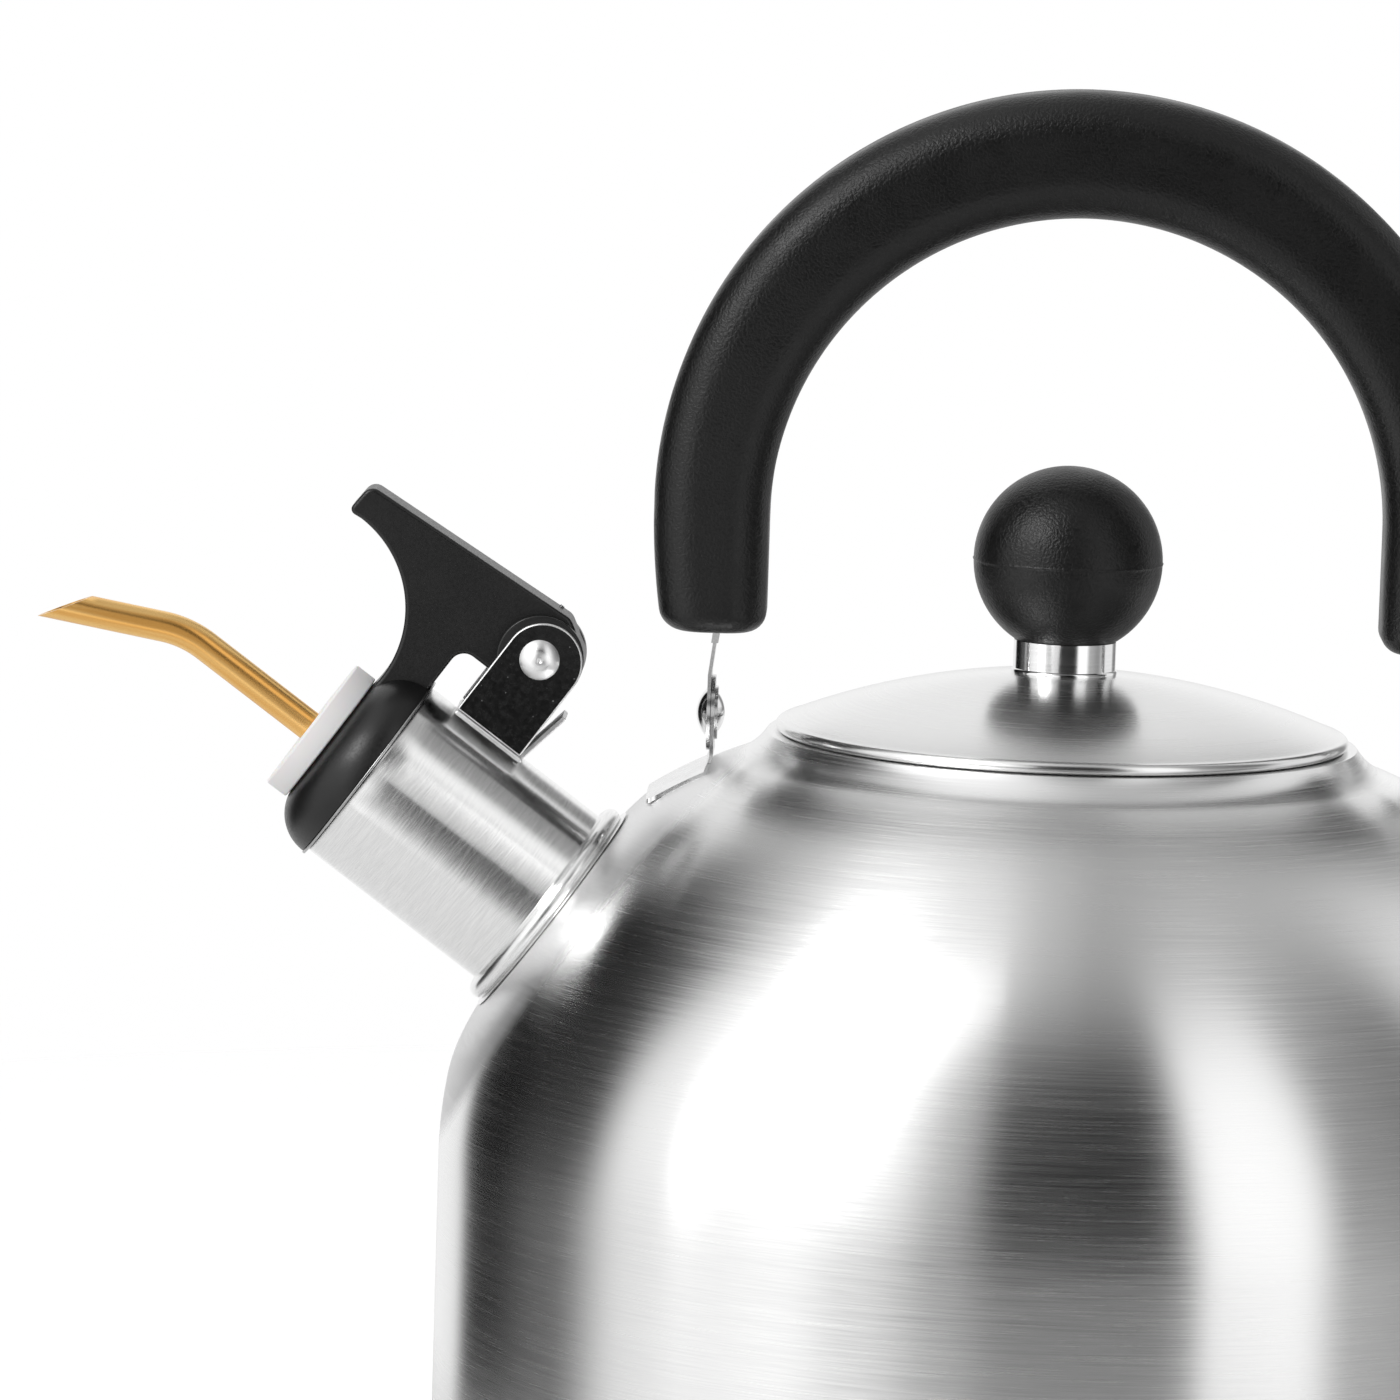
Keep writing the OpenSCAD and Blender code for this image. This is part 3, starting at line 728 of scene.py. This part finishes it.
def make_pan(steel):
    """Bottom with a rounded corner, seamed to the wall."""
    corner_x = BODY_R - PAN_R
    corner_z = BASE_T + PAN_R
    outer = [(0, BASE_T)] + arc(corner_x, corner_z, PAN_R, -90, 0, 16)
    outer += [(BODY_R, SEAM_Z - 0.35), (BODY_R - 0.25, SEAM_Z)]
    inner = [(BODY_R - SHEET, SEAM_Z)] + arc(corner_x, corner_z, PAN_R - SHEET, 0, -90, 16)
    inner += [(0, BASE_T + SHEET)]
    pan = lathe("bottom_pan_steel", outer + inner, segments=256)
    dress(pan, steel)
    return place(pan, "kettle", "body_steel", "bottom_pan")


def make_base(steel):
    """Pressed cap over the heat spreader, with a raised edge and shallow rings underneath."""
    edge = 1.4
    under = [(0, 0.35), (18, 0.35), (19, 0)]
    for r in (38, 62):
        under += [(r, 0), (r + 0.6, 0.3), (r + 2.4, 0.3), (r + 3, 0)]
    under += [(BASE_R - edge, 0)]
    side = arc(BASE_R - edge, edge, edge, -90, 0, 8)[1:] + [(BASE_R, BASE_T)]
    inner = [(BASE_R - SHEET, BASE_T), (BASE_R - SHEET, SHEET), (0, SHEET)]
    base = lathe("base_cap_steel", under + side + inner, segments=192)
    dress(base, steel)
    return place(base, "kettle", "base_steel", "base_cap")


def make_spout(steel):
    """Tube with a bead round its foot and an eased mouth."""
    bead = arc(BEAD_R - BEAD_THICK / 2, 0.3, BEAD_THICK / 2, -62, 98, 14)
    inner = SPOUT_R - SHEET
    foot = [(inner, SEAT_S), (BEAD_R + 0.5, SEAT_S), (BEAD_R + 0.75, SEAT_S + 0.15),
            (BEAD_R + 0.5, SEAT_S + 0.35), (BEAD_R - 0.55, SEAT_S + 0.45)]
    mouth = [(SPOUT_R, 2.2), (SPOUT_R, SPOUT_LEN - 0.3), (SPOUT_R - 0.1, SPOUT_LEN - 0.08),
             (SPOUT_R - 0.3, SPOUT_LEN), (inner + 0.15, SPOUT_LEN), (inner, SPOUT_LEN - 0.2)]
    spout = lathe("spout_tube_steel", split_long(foot + bead + mouth, 4.0), SPOUT, 160)
    dress(spout, steel)
    return place(spout, "kettle", "spout_steel", "spout_tube")


def make_neck(steel):
    """The body's own neck inside the spout."""
    inner = SPOUT_R - 2 * SHEET
    outer = SPOUT_R - SHEET - 0.02
    low, high = SEAT_S - SHEET, 5.0
    outline = rounded([(inner, low), (outer, low), (outer, high), (inner, high)], [0, 0, 0.3, 0.3])
    neck = lathe("spout_neck_steel", outline, SPOUT, 96)
    dress(neck, steel)
    return place(neck, "kettle", "polished_steel")


# Whistle's hinge

def make_ear(side, black, bright):
    """One of the hinge's two plates, with a round top about the pin."""
    ear_r = (EAR_S1 - EAR_S0) / 2
    foot = SPOUT_R + STRIP_T + 0.1
    outline = [(EAR_S0, foot), (EAR_S1, foot)]
    outline += arc(EAR_S0 + ear_r, PIN_T, ear_r, 0, 180, 40)
    low, high = sorted((-side * EAR_IN, -side * (EAR_IN + EAR_T)))
    name = "hinge_ear_near" if side < 0 else "hinge_ear_far"
    ear = slab(name, outline, low, high, SIDE, 0.28)
    settle(ear)
    dress(ear, black, bright)
    # Black on the flat faces, bare on the cut edges
    for face in ear.data.polygons:
        face.material_index = 0 if abs(face.normal.z) > 0.97 else 1
    replaced = ["whistle_bracket"] if side < 0 else []
    return place(ear, "kettle", "hinge_steel", *replaced)


def box(near, far, half):
    """A rectangle from near to far in X, and half to each side of it in Y."""
    return [(near, -half), (far, -half), (far, half), (near, half)]


def make_strip(bright):
    """The bracket's flat base, welded along its middle to the round tube."""
    strip_box = box(SPOUT_R, SPOUT_R + STRIP_T, EAR_IN + EAR_T)
    strip = slab("hinge_base", strip_box, EAR_S0 - 0.8, EAR_S1, SPOUT, 0.44, 4)
    dress(strip, bright)
    place(strip, "kettle", "hinge_steel")
    weld_box = box(SPOUT_R - 0.4, SPOUT_R + 0.1, WELD_W / 2)
    weld = slab("hinge_weld", weld_box, EAR_S0 + 0.4, EAR_S1 - 1, SPOUT, 0)
    dress(weld, bright)
    return place(weld, "kettle", "hinge_steel")


def make_tab(bright):
    """Tab that leans back behind the ears."""
    lean = math.radians(10)
    height = 11
    half_width = 4.5
    foot = Vector((EAR_S0 - 0.6, SPOUT_R - 0.3))
    up = Vector((-math.sin(lean), math.cos(lean))) * height
    over = Vector((math.cos(lean), math.sin(lean))) * EAR_T
    outline = [tuple(corner) for corner in (foot, foot + over, foot + over + up, foot + up)]
    tab = slab("hinge_tab", outline, -half_width, half_width, SIDE, 0.2)
    dress(tab, bright)
    return place(tab, "kettle", "hinge_steel")


def make_pin(bright):
    """Pin with a domed and dimpled head at each end."""
    head_r, head_h = 3.45, 1.5
    ear = EAR_IN + EAR_T
    dome_r = (head_r ** 2 + head_h ** 2) / (2 * head_h)
    half = math.degrees(math.asin(head_r / dome_r))
    crown = ear + head_h
    top = arc(0, crown - dome_r, dome_r, 90 - half, 82, 14)
    dimple = [(0.62, crown - 0.12), (0.4, crown - 0.42), (0, crown - 0.5)]
    upper = [(PIN_R, 0), (PIN_R, ear - 0.02), (head_r - 0.1, ear - 0.02)] + top + dimple
    lower = [(r, -z) for r, z in upper[1:]][::-1]
    pin = lathe("whistle_pin_steel", lower + upper, HINGE, 64, 50)
    dress(pin, bright)
    return place(pin, "kettle", "polished_steel", "whistle_pin")


# Lid

def make_lid(steel):
    """Domed sheet with a rolled hem and a hole in the middle for the knob's screw."""
    def angle(x, r):
        return math.degrees(math.acos(x / r))

    hem_x = LID_R - HEM_R
    inside_r = LID_DOME_R - LID_SHEET
    hole_r = 2
    outer = arc(0, LID_DOME_Z, LID_DOME_R, angle(hole_r, LID_DOME_R), angle(hem_x - 0.4, LID_DOME_R), 60)
    hem = arc(hem_x, RIM_Z + HEM_R, HEM_R, 88, -178, 26)
    inner = arc(0, LID_DOME_Z, inside_r, angle(hem_x - 1.0, inside_r), angle(hole_r, inside_r), 40)
    lid = lathe("lid_cover_steel", outer + hem + inner, segments=288, sharp=50)
    dress(lid, steel)
    return place(lid, "lid", "lid_steel", "lid_cover")


def make_ferrule(steel):
    """Bright sleeve between the lid and the knob."""
    low = LID_DOME_Z + math.sqrt(LID_DOME_R ** 2 - FERRULE_R ** 2)
    foot = low + 0.75
    outline = [(FERRULE_R - 1, low - 0.1), (FERRULE_R + 0.2, low - 0.1), (FERRULE_R + 0.28, foot - 0.25),
               (FERRULE_R + 0.15, foot), (FERRULE_R, foot + 0.1), (FERRULE_R, FERRULE_TOP - 0.15),
               (FERRULE_R - 0.3, FERRULE_TOP + 0.05), (FERRULE_R - 1, FERRULE_TOP - 0.4)]
    ferrule = lathe("knob_ferrule_steel", split_long(outline, 1.0), segments=96)
    dress(ferrule, steel)
    return place(ferrule, "lid", "polished_steel", "knob_ferrule")


def make_knob(black):
    """Ball moulded in two halves that meet in a fine ridge round its middle."""
    low = -math.degrees(math.acos((FERRULE_R - 1.2) / KNOB_R))
    lower = arc(0, KNOB_Z, KNOB_R, low, -1.2, 44)
    ridge = KNOB_R + 0.13
    middle = [(KNOB_R + 0.05, KNOB_Z - 0.25), (ridge, KNOB_Z - 0.05), (ridge, KNOB_Z + 0.03),
              (KNOB_R + 0.02, KNOB_Z + 0.12)]
    upper = arc(0, KNOB_Z, KNOB_R, 1.2, 90, 60)
    upper[-1] = (0, upper[-1][1])
    foot = LID_DOME_Z + math.sqrt(LID_DOME_R ** 2 - (FERRULE_R - 1) ** 2)
    stem = [(0, foot), (FERRULE_R - 1.2, foot)]
    knob = lathe("lid_knob_ball", stem + lower + middle + upper, segments=128, sharp=60)
    dress(knob, black)
    return place(knob, "lid", "black_phenolic", "lid_knob")


# Handle

def grip_ring(outer, inner, shrink, count=12):
    """One section of the grip: a rounded bar between an inner and an outer point in the XZ plane."""
    mid = (outer + inner) / 2
    out = (outer - inner).normalized()
    thick = (outer - inner).length / 2 - shrink
    wide = GRIP_W / 2 - shrink
    r = max(GRIP_ROUND - shrink, 0.5)
    corners = [(thick, wide), (-thick, wide), (-thick, -wide), (thick, -wide)]
    centres = [Vector((a - math.copysign(r, a), b - math.copysign(r, b))) for a, b in corners]
    points = []
    for i, centre in enumerate(centres):
        points += arc(centre.x, centre.y, r, 90 * i, 90 * i + 90, count)
        last = Vector(points[-1])
        step = (centres[(i + 1) % 4] - centre) / 4
        points += [tuple(last + step * k) for k in (1, 2, 3)]
    return [(mid.x + out.x * a, b, mid.y + out.y * a) for a, b in points]


def grip_leg(side):
    """Sections of one leg, from its rounded end up to the arch."""
    sections = []
    straight_z = LEG_END_Z + LEG_ROUND
    levels = [LEG_END_Z + LEG_ROUND * (1 - math.cos(math.radians(90 * k / 8))) for k in range(9)]
    levels += [straight_z + (ARCH_IN_Z - straight_z) * k / 12 for k in range(1, 12)]
    for z in levels:
        drop = max(ARCH_OUT_Z - z, 0)
        x_out = ARCH_OUT_R - (LEG_BEND_R - math.sqrt(LEG_BEND_R ** 2 - drop ** 2))
        below = max(straight_z - z, 0)
        shrink = LEG_ROUND - math.sqrt(max(LEG_ROUND ** 2 - below ** 2, 0))
        outer = Vector((HANDLE_X + side * x_out, z))
        inner = Vector((HANDLE_X + side * ARCH_IN_R, z))
        sections.append((outer, inner, shrink))
    return sections


def grip_arch():
    """Sections of the half circle between the legs."""
    sections = []
    steps = 120
    for k in range(1, steps):
        a = math.radians(180 - 180 * k / steps)
        outer = Vector((HANDLE_X + ARCH_OUT_R * math.cos(a), ARCH_OUT_Z + ARCH_OUT_R * math.sin(a)))
        inner = Vector((HANDLE_X + ARCH_IN_R * math.cos(a), ARCH_IN_Z + ARCH_IN_R * math.sin(a)))
        sections.append((outer, inner, 0.0))
    return sections


def make_grip(black):
    """The grip in one skin: down one leg, over the arch and down the other."""
    sections = grip_leg(-1) + grip_arch() + grip_leg(1)[::-1]
    rings = [grip_ring(*section) for section in sections]
    grip = loft("handle_grip_moulded", rings, sharp=50)
    dress(grip, black)
    return place(grip, "handle", "black_phenolic", "handle_grip")


# Whistle

def lever_outline():
    """The lever from the side: a boss round the pin, a hollowed front and a thumb tip on top."""
    foot = math.degrees(math.asin(max(-1.0, (WINDOW_T - PIN_T) / LUG_R)))
    outline = arc(PIN_S, PIN_T, LUG_R, 132, 360 + foot, 44)
    corner = rounded([(PIN_S + 6, WINDOW_T), (CAP_S, WINDOW_T), (CAP_S, 12)], [0, 2.6, 0], 8)
    outline += corner[1:-1]
    low = 10.0
    outline += [(CAP_S, low)]
    rise = low - HOLLOW_T
    start = math.degrees(math.atan2(rise, -math.sqrt(HOLLOW_R ** 2 - rise ** 2))) % 360
    hollow = arc(HOLLOW_S, HOLLOW_T, HOLLOW_R, start, 90, 40)
    outline += hollow
    corners = [hollow[-1], (TIP_S + 0.35, HOLLOW_T + HOLLOW_R - 0.3), (TIP_S, TIP_T),
               (PIN_S, PIN_T + LUG_TOP), outline[0]]
    tip = rounded(corners, [0, 1.8, 2.0, 2.5, 0], 8)
    outline += tip[1:-1]
    return outline


def make_lever(black):
    """Lever arm, cut out behind and round the pin for the spring."""
    lever = slab("whistle_lever_arm", lever_outline(), -LEVER_W / 2, LEVER_W / 2, SIDE, 0.9, 4)
    settle(lever)
    half = SPRING_HALF
    pocket = slab("pocket", [(0, 0), (PIN_S, 0), (PIN_S, PIN_T), (0, PIN_T)], -half, half, SIDE, 0)
    cut(lever, pocket)
    coil_r = 3.4
    well = lathe("well", [(0, -half), (coil_r, -half), (coil_r, half), (0, half)], HINGE, 48)
    cut(lever, well)
    dress(lever, black)
    return place(lever, "whistle", "black_nylon", "whistle_lever")


def make_lugs(black):
    """The lever's boss fills the space between the ears on each side of the spring."""
    bore = PIN_R + 0.06
    for side, name in ((-1, "whistle_lug_far"), (1, "whistle_lug_near")):
        low, high = sorted((side * SPRING_HALF, side * (EAR_IN - 0.3)))
        corners = [(bore, low), (LUG_R, low), (LUG_R, high), (bore, high)]
        lug = lathe(name, rounded(corners, [0, 0.35, 0.35, 0], 4), HINGE, 96)
        dress(lug, black)
        place(lug, "whistle", "black_nylon")


def make_cap(black):
    """Round-edged cap, hollow towards the spout."""
    front = arc(CAP_R - CAP_ROUND, CAP_FRONT_S - CAP_ROUND, CAP_ROUND, 90, 0, 24)
    profile = [(0, CAP_FRONT_S)] + front
    profile += [(CAP_R, CAP_S + 0.1), (CAP_R - 0.15, CAP_S)]
    profile += [(CHAMBER_R, CAP_S), (CHAMBER_R, WALL_S), (0, WALL_S)]
    cap = lathe("whistle_cap_moulded", profile, SPOUT, 128, 50)
    dress(cap, black)
    return place(cap, "whistle", "black_nylon")


def make_disc(bright):
    """Thin ring on the cap's back, which closes the spout's mouth."""
    low, high = SPOUT_LEN + 0.1, CAP_S
    hole_r, rim_r = 3, CAP_R + 0.3
    corners = [(hole_r, low), (rim_r, low), (rim_r, high), (hole_r, high)]
    disc = lathe("whistle_disc_steel", rounded(corners, [0.1, 0.2, 0.2, 0.1], 4), SPOUT, 128)
    dress(disc, bright)
    return place(disc, "whistle", "pressed_steel", "whistle_disc")


def make_stopper(white):
    """Plug with a flange against the cap's front."""
    plug_r = 8
    profile = [(0, WALL_S), (plug_r, WALL_S), (plug_r, CAP_FRONT_S)]
    flange = [profile[-1], (STOPPER_R, CAP_FRONT_S), (STOPPER_R, STOPPER_S), (0, STOPPER_S)]
    profile += rounded(flange, [0, 0.3, 0.4, 0], 5)[1:]
    stopper = lathe("nozzle_stopper_moulded", profile, SPOUT, 96)
    dress(stopper, white)
    return place(stopper, "whistle", "stopper_plastic", "nozzle_stopper")


def nozzle_path():
    """Centres and turns along the nozzle, and the centre of its slanted end."""
    start_s = WALL_S - 1
    bend_run = BEND_R * math.tan(BEND / 2)
    bend_start = BEND_S - bend_run
    slant_room = 5.5
    stations = []
    for k in range(13):
        stations.append((Vector((NOZZLE_T, 0, start_s + (bend_start - start_s) * k / 12)), 0.0))
    for k in range(1, 13):
        a = BEND * k / 12
        x = NOZZLE_T - BEND_R + BEND_R * math.cos(a)
        stations.append((Vector((x, 0, bend_start + BEND_R * math.sin(a))), a))
    last, turn = stations[-1]
    run = TIP_MID - bend_run
    along = Vector((-math.sin(turn), 0, math.cos(turn)))
    for k in range(1, 5):
        stations.append((last + along * (run - slant_room) * k / 4, turn))
    return stations, last + along * run


def tube_ring(centre, turn, r, slant=0.0):
    """A ring of points square to the turned tube, or slanted."""
    out = []
    side = Vector((math.cos(turn), 0, math.sin(turn)))
    ahead = Vector((-math.sin(turn), 0, math.cos(turn)))
    for k in range(TUBE_STEPS):
        w = 2 * math.pi * k / TUBE_STEPS
        x = r * math.cos(w)
        point = centre + side * x + Vector((0, r * math.sin(w), 0)) - ahead * (x * math.tan(slant))
        out.append(tuple(point))
    return out


def make_nozzle(gold):
    """Drawn tube: a straight run, a bend and a tip cut on a slant."""
    bore = NOZZLE_R - NOZZLE_WALL
    stations, end = nozzle_path()
    rings = [tube_ring(centre, turn, NOZZLE_R) for centre, turn in stations]
    rings += [tube_ring(end, BEND, r, TIP_SLANT) for r in (NOZZLE_R, bore)]
    rings += [tube_ring(centre, turn, bore) for centre, turn in stations[::-1]]
    nozzle = loft("steam_nozzle_brass", rings, SPOUT, 45, closed=True)
    # The steel round the spout shows no gold
    nozzle.visible_glossy = False
    run_map(nozzle, TUBE_STEPS)
    dress(nozzle, gold)
    return place(nozzle, "whistle", "nozzle_brass", "steam_nozzle")


# Studio

def make_camera():
    """Long lens from the front and a little above, held slightly askew."""
    eye = Vector((-0.030, -1.300, 0.3015))
    target = Vector((-0.0623, 0, 0.1394))
    askew = math.radians(1.8)
    data = bpy.data.cameras.new("camera")
    data.lens = 196.0
    data.sensor_width = 36.0
    data.clip_start = 0.05
    data.clip_end = 50
    cam = bpy.data.objects.new("camera", data)
    bpy.context.scene.collection.objects.link(cam)
    cam.location = eye
    look = (target - eye).to_track_quat("-Z", "Y")
    roll = Matrix.Rotation(askew, 4, "Z")
    cam.rotation_mode = "QUATERNION"
    cam.rotation_quaternion = (look.to_matrix().to_4x4() @ roll).to_quaternion()
    bpy.context.scene.camera = cam


def floor_pale():
    """Pale near the kettle, fading to clear further off, and sooner where metal reflects it."""
    mat, tree, out = new_material("floor_pale")
    xyz = parts_of(tree, object_point(tree))
    radius = radius_of(tree, xyz["X"], xyz["Y"])
    paths = tree.nodes.new("ShaderNodeLightPath")
    pale = shader(tree, (0.86, 0.86, 0.86, 1), 0.6)
    clear = tree.nodes.new("ShaderNodeBsdfTransparent")
    seen = span(tree, radius, 0.22, 0.60)
    # Metal shows the floor close by, and further off in front
    near = span(tree, radius, 0.112, 0.20)
    far = span(tree, radius, 0.15, 0.38)
    aside = span(tree, maths(tree, "ABSOLUTE", xyz["X"]), 0.08, 0.17)
    beyond = span(tree, xyz["Y"], -0.12, -0.04)
    not_front = maths(tree, "MAXIMUM", aside, beyond)
    mirrored = maths(tree, "MAXIMUM", far, maths(tree, "MULTIPLY", near, not_front))
    in_metal = maths(tree, "MULTIPLY", mirrored, paths.outputs["Is Glossy Ray"])
    fade = maths(tree, "MAXIMUM", seen, in_metal)
    glow = tree.nodes.new("ShaderNodeEmission")
    strength = maths(tree, "MULTIPLY", paths.outputs["Is Camera Ray"], 0.34)
    tree.links.new(strength, glow.inputs["Strength"])
    lit = tree.nodes.new("ShaderNodeAddShader")
    tree.links.new(pale.outputs[0], lit.inputs[0])
    tree.links.new(glow.outputs[0], lit.inputs[1])
    mix = blend_shaders(tree, fade, lit, clear)
    tree.links.new(mix.outputs[0], out.inputs["Surface"])
    return mat


def make_floor():
    """A disc just under the kettle that keeps its shadow."""
    mesh = bpy.data.meshes.new("floor")
    steps = 96
    verts = [(x, y, -0.0002) for x, y in arc(0, 0, 1.2, 0, 360, steps)[:-1]]
    mesh.from_pydata(verts, [], [tuple(range(steps))])
    floor = bpy.data.objects.new("floor", mesh)
    bpy.context.scene.collection.objects.link(floor)
    mesh.materials.append(floor_pale())


def ramp(tree, value, stops):
    """A grey that follows the given (place, tone) stops."""
    n = tree.nodes.new("ShaderNodeValToRGB")
    n.color_ramp.interpolation = "EASE"
    elements = n.color_ramp.elements
    while len(elements) > 1:
        elements.remove(elements[-1])
    elements[0].position = stops[0][0]
    for position, tone in stops[1:]:
        elements.new(position)
    for element, (position, tone) in zip(elements, stops):
        element.color = (tone, tone, tone, 1)
    tree.links.new(value, n.inputs[0])
    return n.outputs["Color"]


def around(stops):
    """Stops given by their angle from the front, as places from 0 to 1 round the ring."""
    first, last = stops[0][1], stops[-1][1]
    return [(0.0, first)] + [(angle / 360.0 + 0.5, tone) for angle, tone in stops] + [(1.0, last)]


# Tones of the ring of panels by angle in degrees, at the level of the kettle and well above it
LOW_PANELS = around([
    (-147, 0.92), (-139, 0.01), (-126, 0.01), (-106, 0.10), (-84, 0.85), (-70, 1.02), (-50, 1.05),
    (-36, 0.60), (-20, 0.20), (-6, 0.04), (20, 0.03), (25, 0.08), (31, 1.15), (47, 1.2), (58, 0.45),
    (80, 0.3), (100, 0.85), (130, 0.85), (140, 0.25), (155, 0.25), (165, 0.92)])
MID_PANELS = around([
    (-147, 0.95), (-138, 0.0), (-98, 0.03), (-86, 1.05), (-60, 1.15), (-31, 1.05), (-19, 0.50),
    (-9, 0.02), (18, 0.0), (22, 0.06), (30, 1.2), (47, 1.2), (58, 0.3), (88, 0.14), (100, 0.85),
    (130, 0.85), (140, 0.25), (155, 0.25), (165, 0.95)])
# Tones overhead, from the left end to the right
OVERHEAD = [
    (0.0, 0.9), (0.25, 1.02), (0.35, 0.98), (0.43, 0.88), (0.50, 0.6), (0.55, 0.46), (0.68, 0.50),
    (0.8, 0.50), (1.0, 0.4)]


def blend_colours(tree, factor, first, second):
    first_in, second_in, result = colour_mix(tree, factor)
    tree.links.new(first, first_in)
    tree.links.new(second, second_in)
    return result


def panels(tree, direction):
    """The colour of the studio in a direction: two levels of panels, and a soft sky over them."""
    x, y, z = direction
    # 0 behind the kettle, turning by its left side to 0.5 at the front
    round_way = maths(tree, "ARCTAN2", x, maths(tree, "MULTIPLY", y, -1.0))
    turn = maths(tree, "ADD", maths(tree, "DIVIDE", round_way, 2 * math.pi), 0.5)
    low = ramp(tree, turn, LOW_PANELS)
    mid = ramp(tree, turn, MID_PANELS)
    high = ramp(tree, maths(tree, "ADD", maths(tree, "MULTIPLY", x, 0.5), 0.5), OVERHEAD)
    ground = tree.nodes.new("ShaderNodeRGB").outputs[0]
    ground.default_value = (0.80, 0.80, 0.80, 1)
    ring = blend_colours(tree, span(tree, z, -0.16, 0.12), low, mid)
    ring = blend_colours(tree, span(tree, z, -0.50, -0.28), ground, ring)
    return blend_colours(tree, span(tree, z, 0.63, 0.98), ring, high)


def make_world():
    """White backdrop, and a ring of soft white panels with dark gaps for the metal to show."""
    world = bpy.data.worlds.new("studio")
    bpy.context.scene.world = world
    world.use_nodes = True
    tree = world.node_tree
    tree.nodes.clear()
    out = tree.nodes.new("ShaderNodeOutputWorld")
    coord = tree.nodes.new("ShaderNodeTexCoord")
    split = tree.nodes.new("ShaderNodeSeparateXYZ")
    tree.links.new(coord.outputs["Generated"], split.inputs[0])
    studio = node(tree, "ShaderNodeBackground")
    tree.links.new(panels(tree, split.outputs), studio.inputs["Color"])
    white = node(tree, "ShaderNodeBackground", Color=(1, 1, 1, 1))
    paths = tree.nodes.new("ShaderNodeLightPath")
    seen = blend_shaders(tree, paths.outputs["Is Camera Ray"], studio, white)
    tree.links.new(seen.outputs[0], out.inputs["Surface"])


def make_lamp(name, eye, target, size, power, shape="RECTANGLE"):
    data = bpy.data.lights.new(name, "AREA")
    data.shape = shape
    data.size, data.size_y = size
    data.energy = power
    lamp = bpy.data.objects.new(name, data)
    bpy.context.scene.collection.objects.link(lamp)
    lamp.location = eye
    lamp.rotation_mode = "QUATERNION"
    lamp.rotation_quaternion = (Vector(target) - Vector(eye)).to_track_quat("-Z", "Y")
    return lamp


def make_card(name, eye, target, size, power):
    """A small soft light that shows only as gloss."""
    card = make_lamp(name, eye, target, size, power, "ELLIPSE")
    card.visible_camera = False
    card.visible_diffuse = False


def make_lights():
    make_lamp("key", (-0.80, -0.67, 0.92), (0, 0, 0.12), (0.5, 0.5), 5.0)
    make_card("spout_card", (-0.064, -0.130, 0.159), (-0.103, -0.017, 0.115), (0.10, 0.07), 0.010)
    make_card("nozzle_card", (-0.172, -0.125, 0.150), (-0.158, 0, 0.152), (0.10, 0.19), 0.022)


def dress_cad_nodes(names, mat):
    """CAD nodes whose shape is right keep it and get a better finish."""
    for name in names:
        dress(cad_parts[name], mat)


def build():
    lid_finish = turned_steel("lid_steel", 0.22, 0.28, anisotropy=0.7, along=35.0, across=4200.0,
                              lines=0.02, tone=0.88, depth=0.93)
    spout_finish = turned_steel("spout_steel", 0.19, 0.25, anisotropy=0.92, along=220.0, across=6000.0,
                                tone=0.94)
    pan_finish = turned_steel("pan_steel", 0.26, 0.36)
    base_finish = turned_steel("base_steel", 0.3, 0.42, anisotropy=0.6, across=1800.0, lines=0.2,
                               tone=0.8)
    bright = bright_steel("polished_steel", 0.08, 0.16)
    # Half-tone steel: its darkness is a painted dark reflection, and the whistle disc wears it
    pressed = stamped_steel("pressed_steel", tone=0.5)
    strap = stamped_steel("strap_steel", tone=0.95, low=0.22, high=0.32)
    hinge = stamped_steel("hinge_steel", tone=0.94, low=0.38, high=0.5)
    black = phenolic()
    satin = nylon()
    ear_black = ear_black_specked()
    make_body()
    make_pan(pan_finish)
    make_base(base_finish)
    make_spout(spout_finish)
    make_neck(bright)
    for side in (-1, 1):
        make_ear(side, ear_black, hinge)
    make_strip(hinge)
    make_tab(hinge)
    make_pin(bright_steel("pin_steel", 0.26, 0.34, wave=0.05))
    make_lid(lid_finish)
    make_ferrule(bright)
    make_knob(black)
    make_grip(black)
    make_lever(satin)
    make_lugs(satin)
    make_cap(satin)
    # The disc's darker steel is a painted dark reflection
    make_disc(pressed)
    make_stopper(white_plastic())
    make_nozzle(brass())
    for end in ("front", "rear"):
        dress_cad_nodes([end + "_bracket", end + "_washer", end + "_strap"], strap)
        dress_cad_nodes([end + "_rivet"], bright)
    inner = stamped_steel("inner_steel", tone=0.78)
    dress_cad_nodes(["whistle_cup", "lid_skirt", "knob_screw", "knob_washer"], inner)
    dress_cad_nodes(["whistle_spring"], stamped_steel("spring_steel", tone=0.25))
    dress_cad_nodes(["heat_spreader"], cast_aluminium())


bpy.context.scene.view_settings.view_transform = "Standard"
make_camera()
make_floor()
make_world()
make_lights()
build()
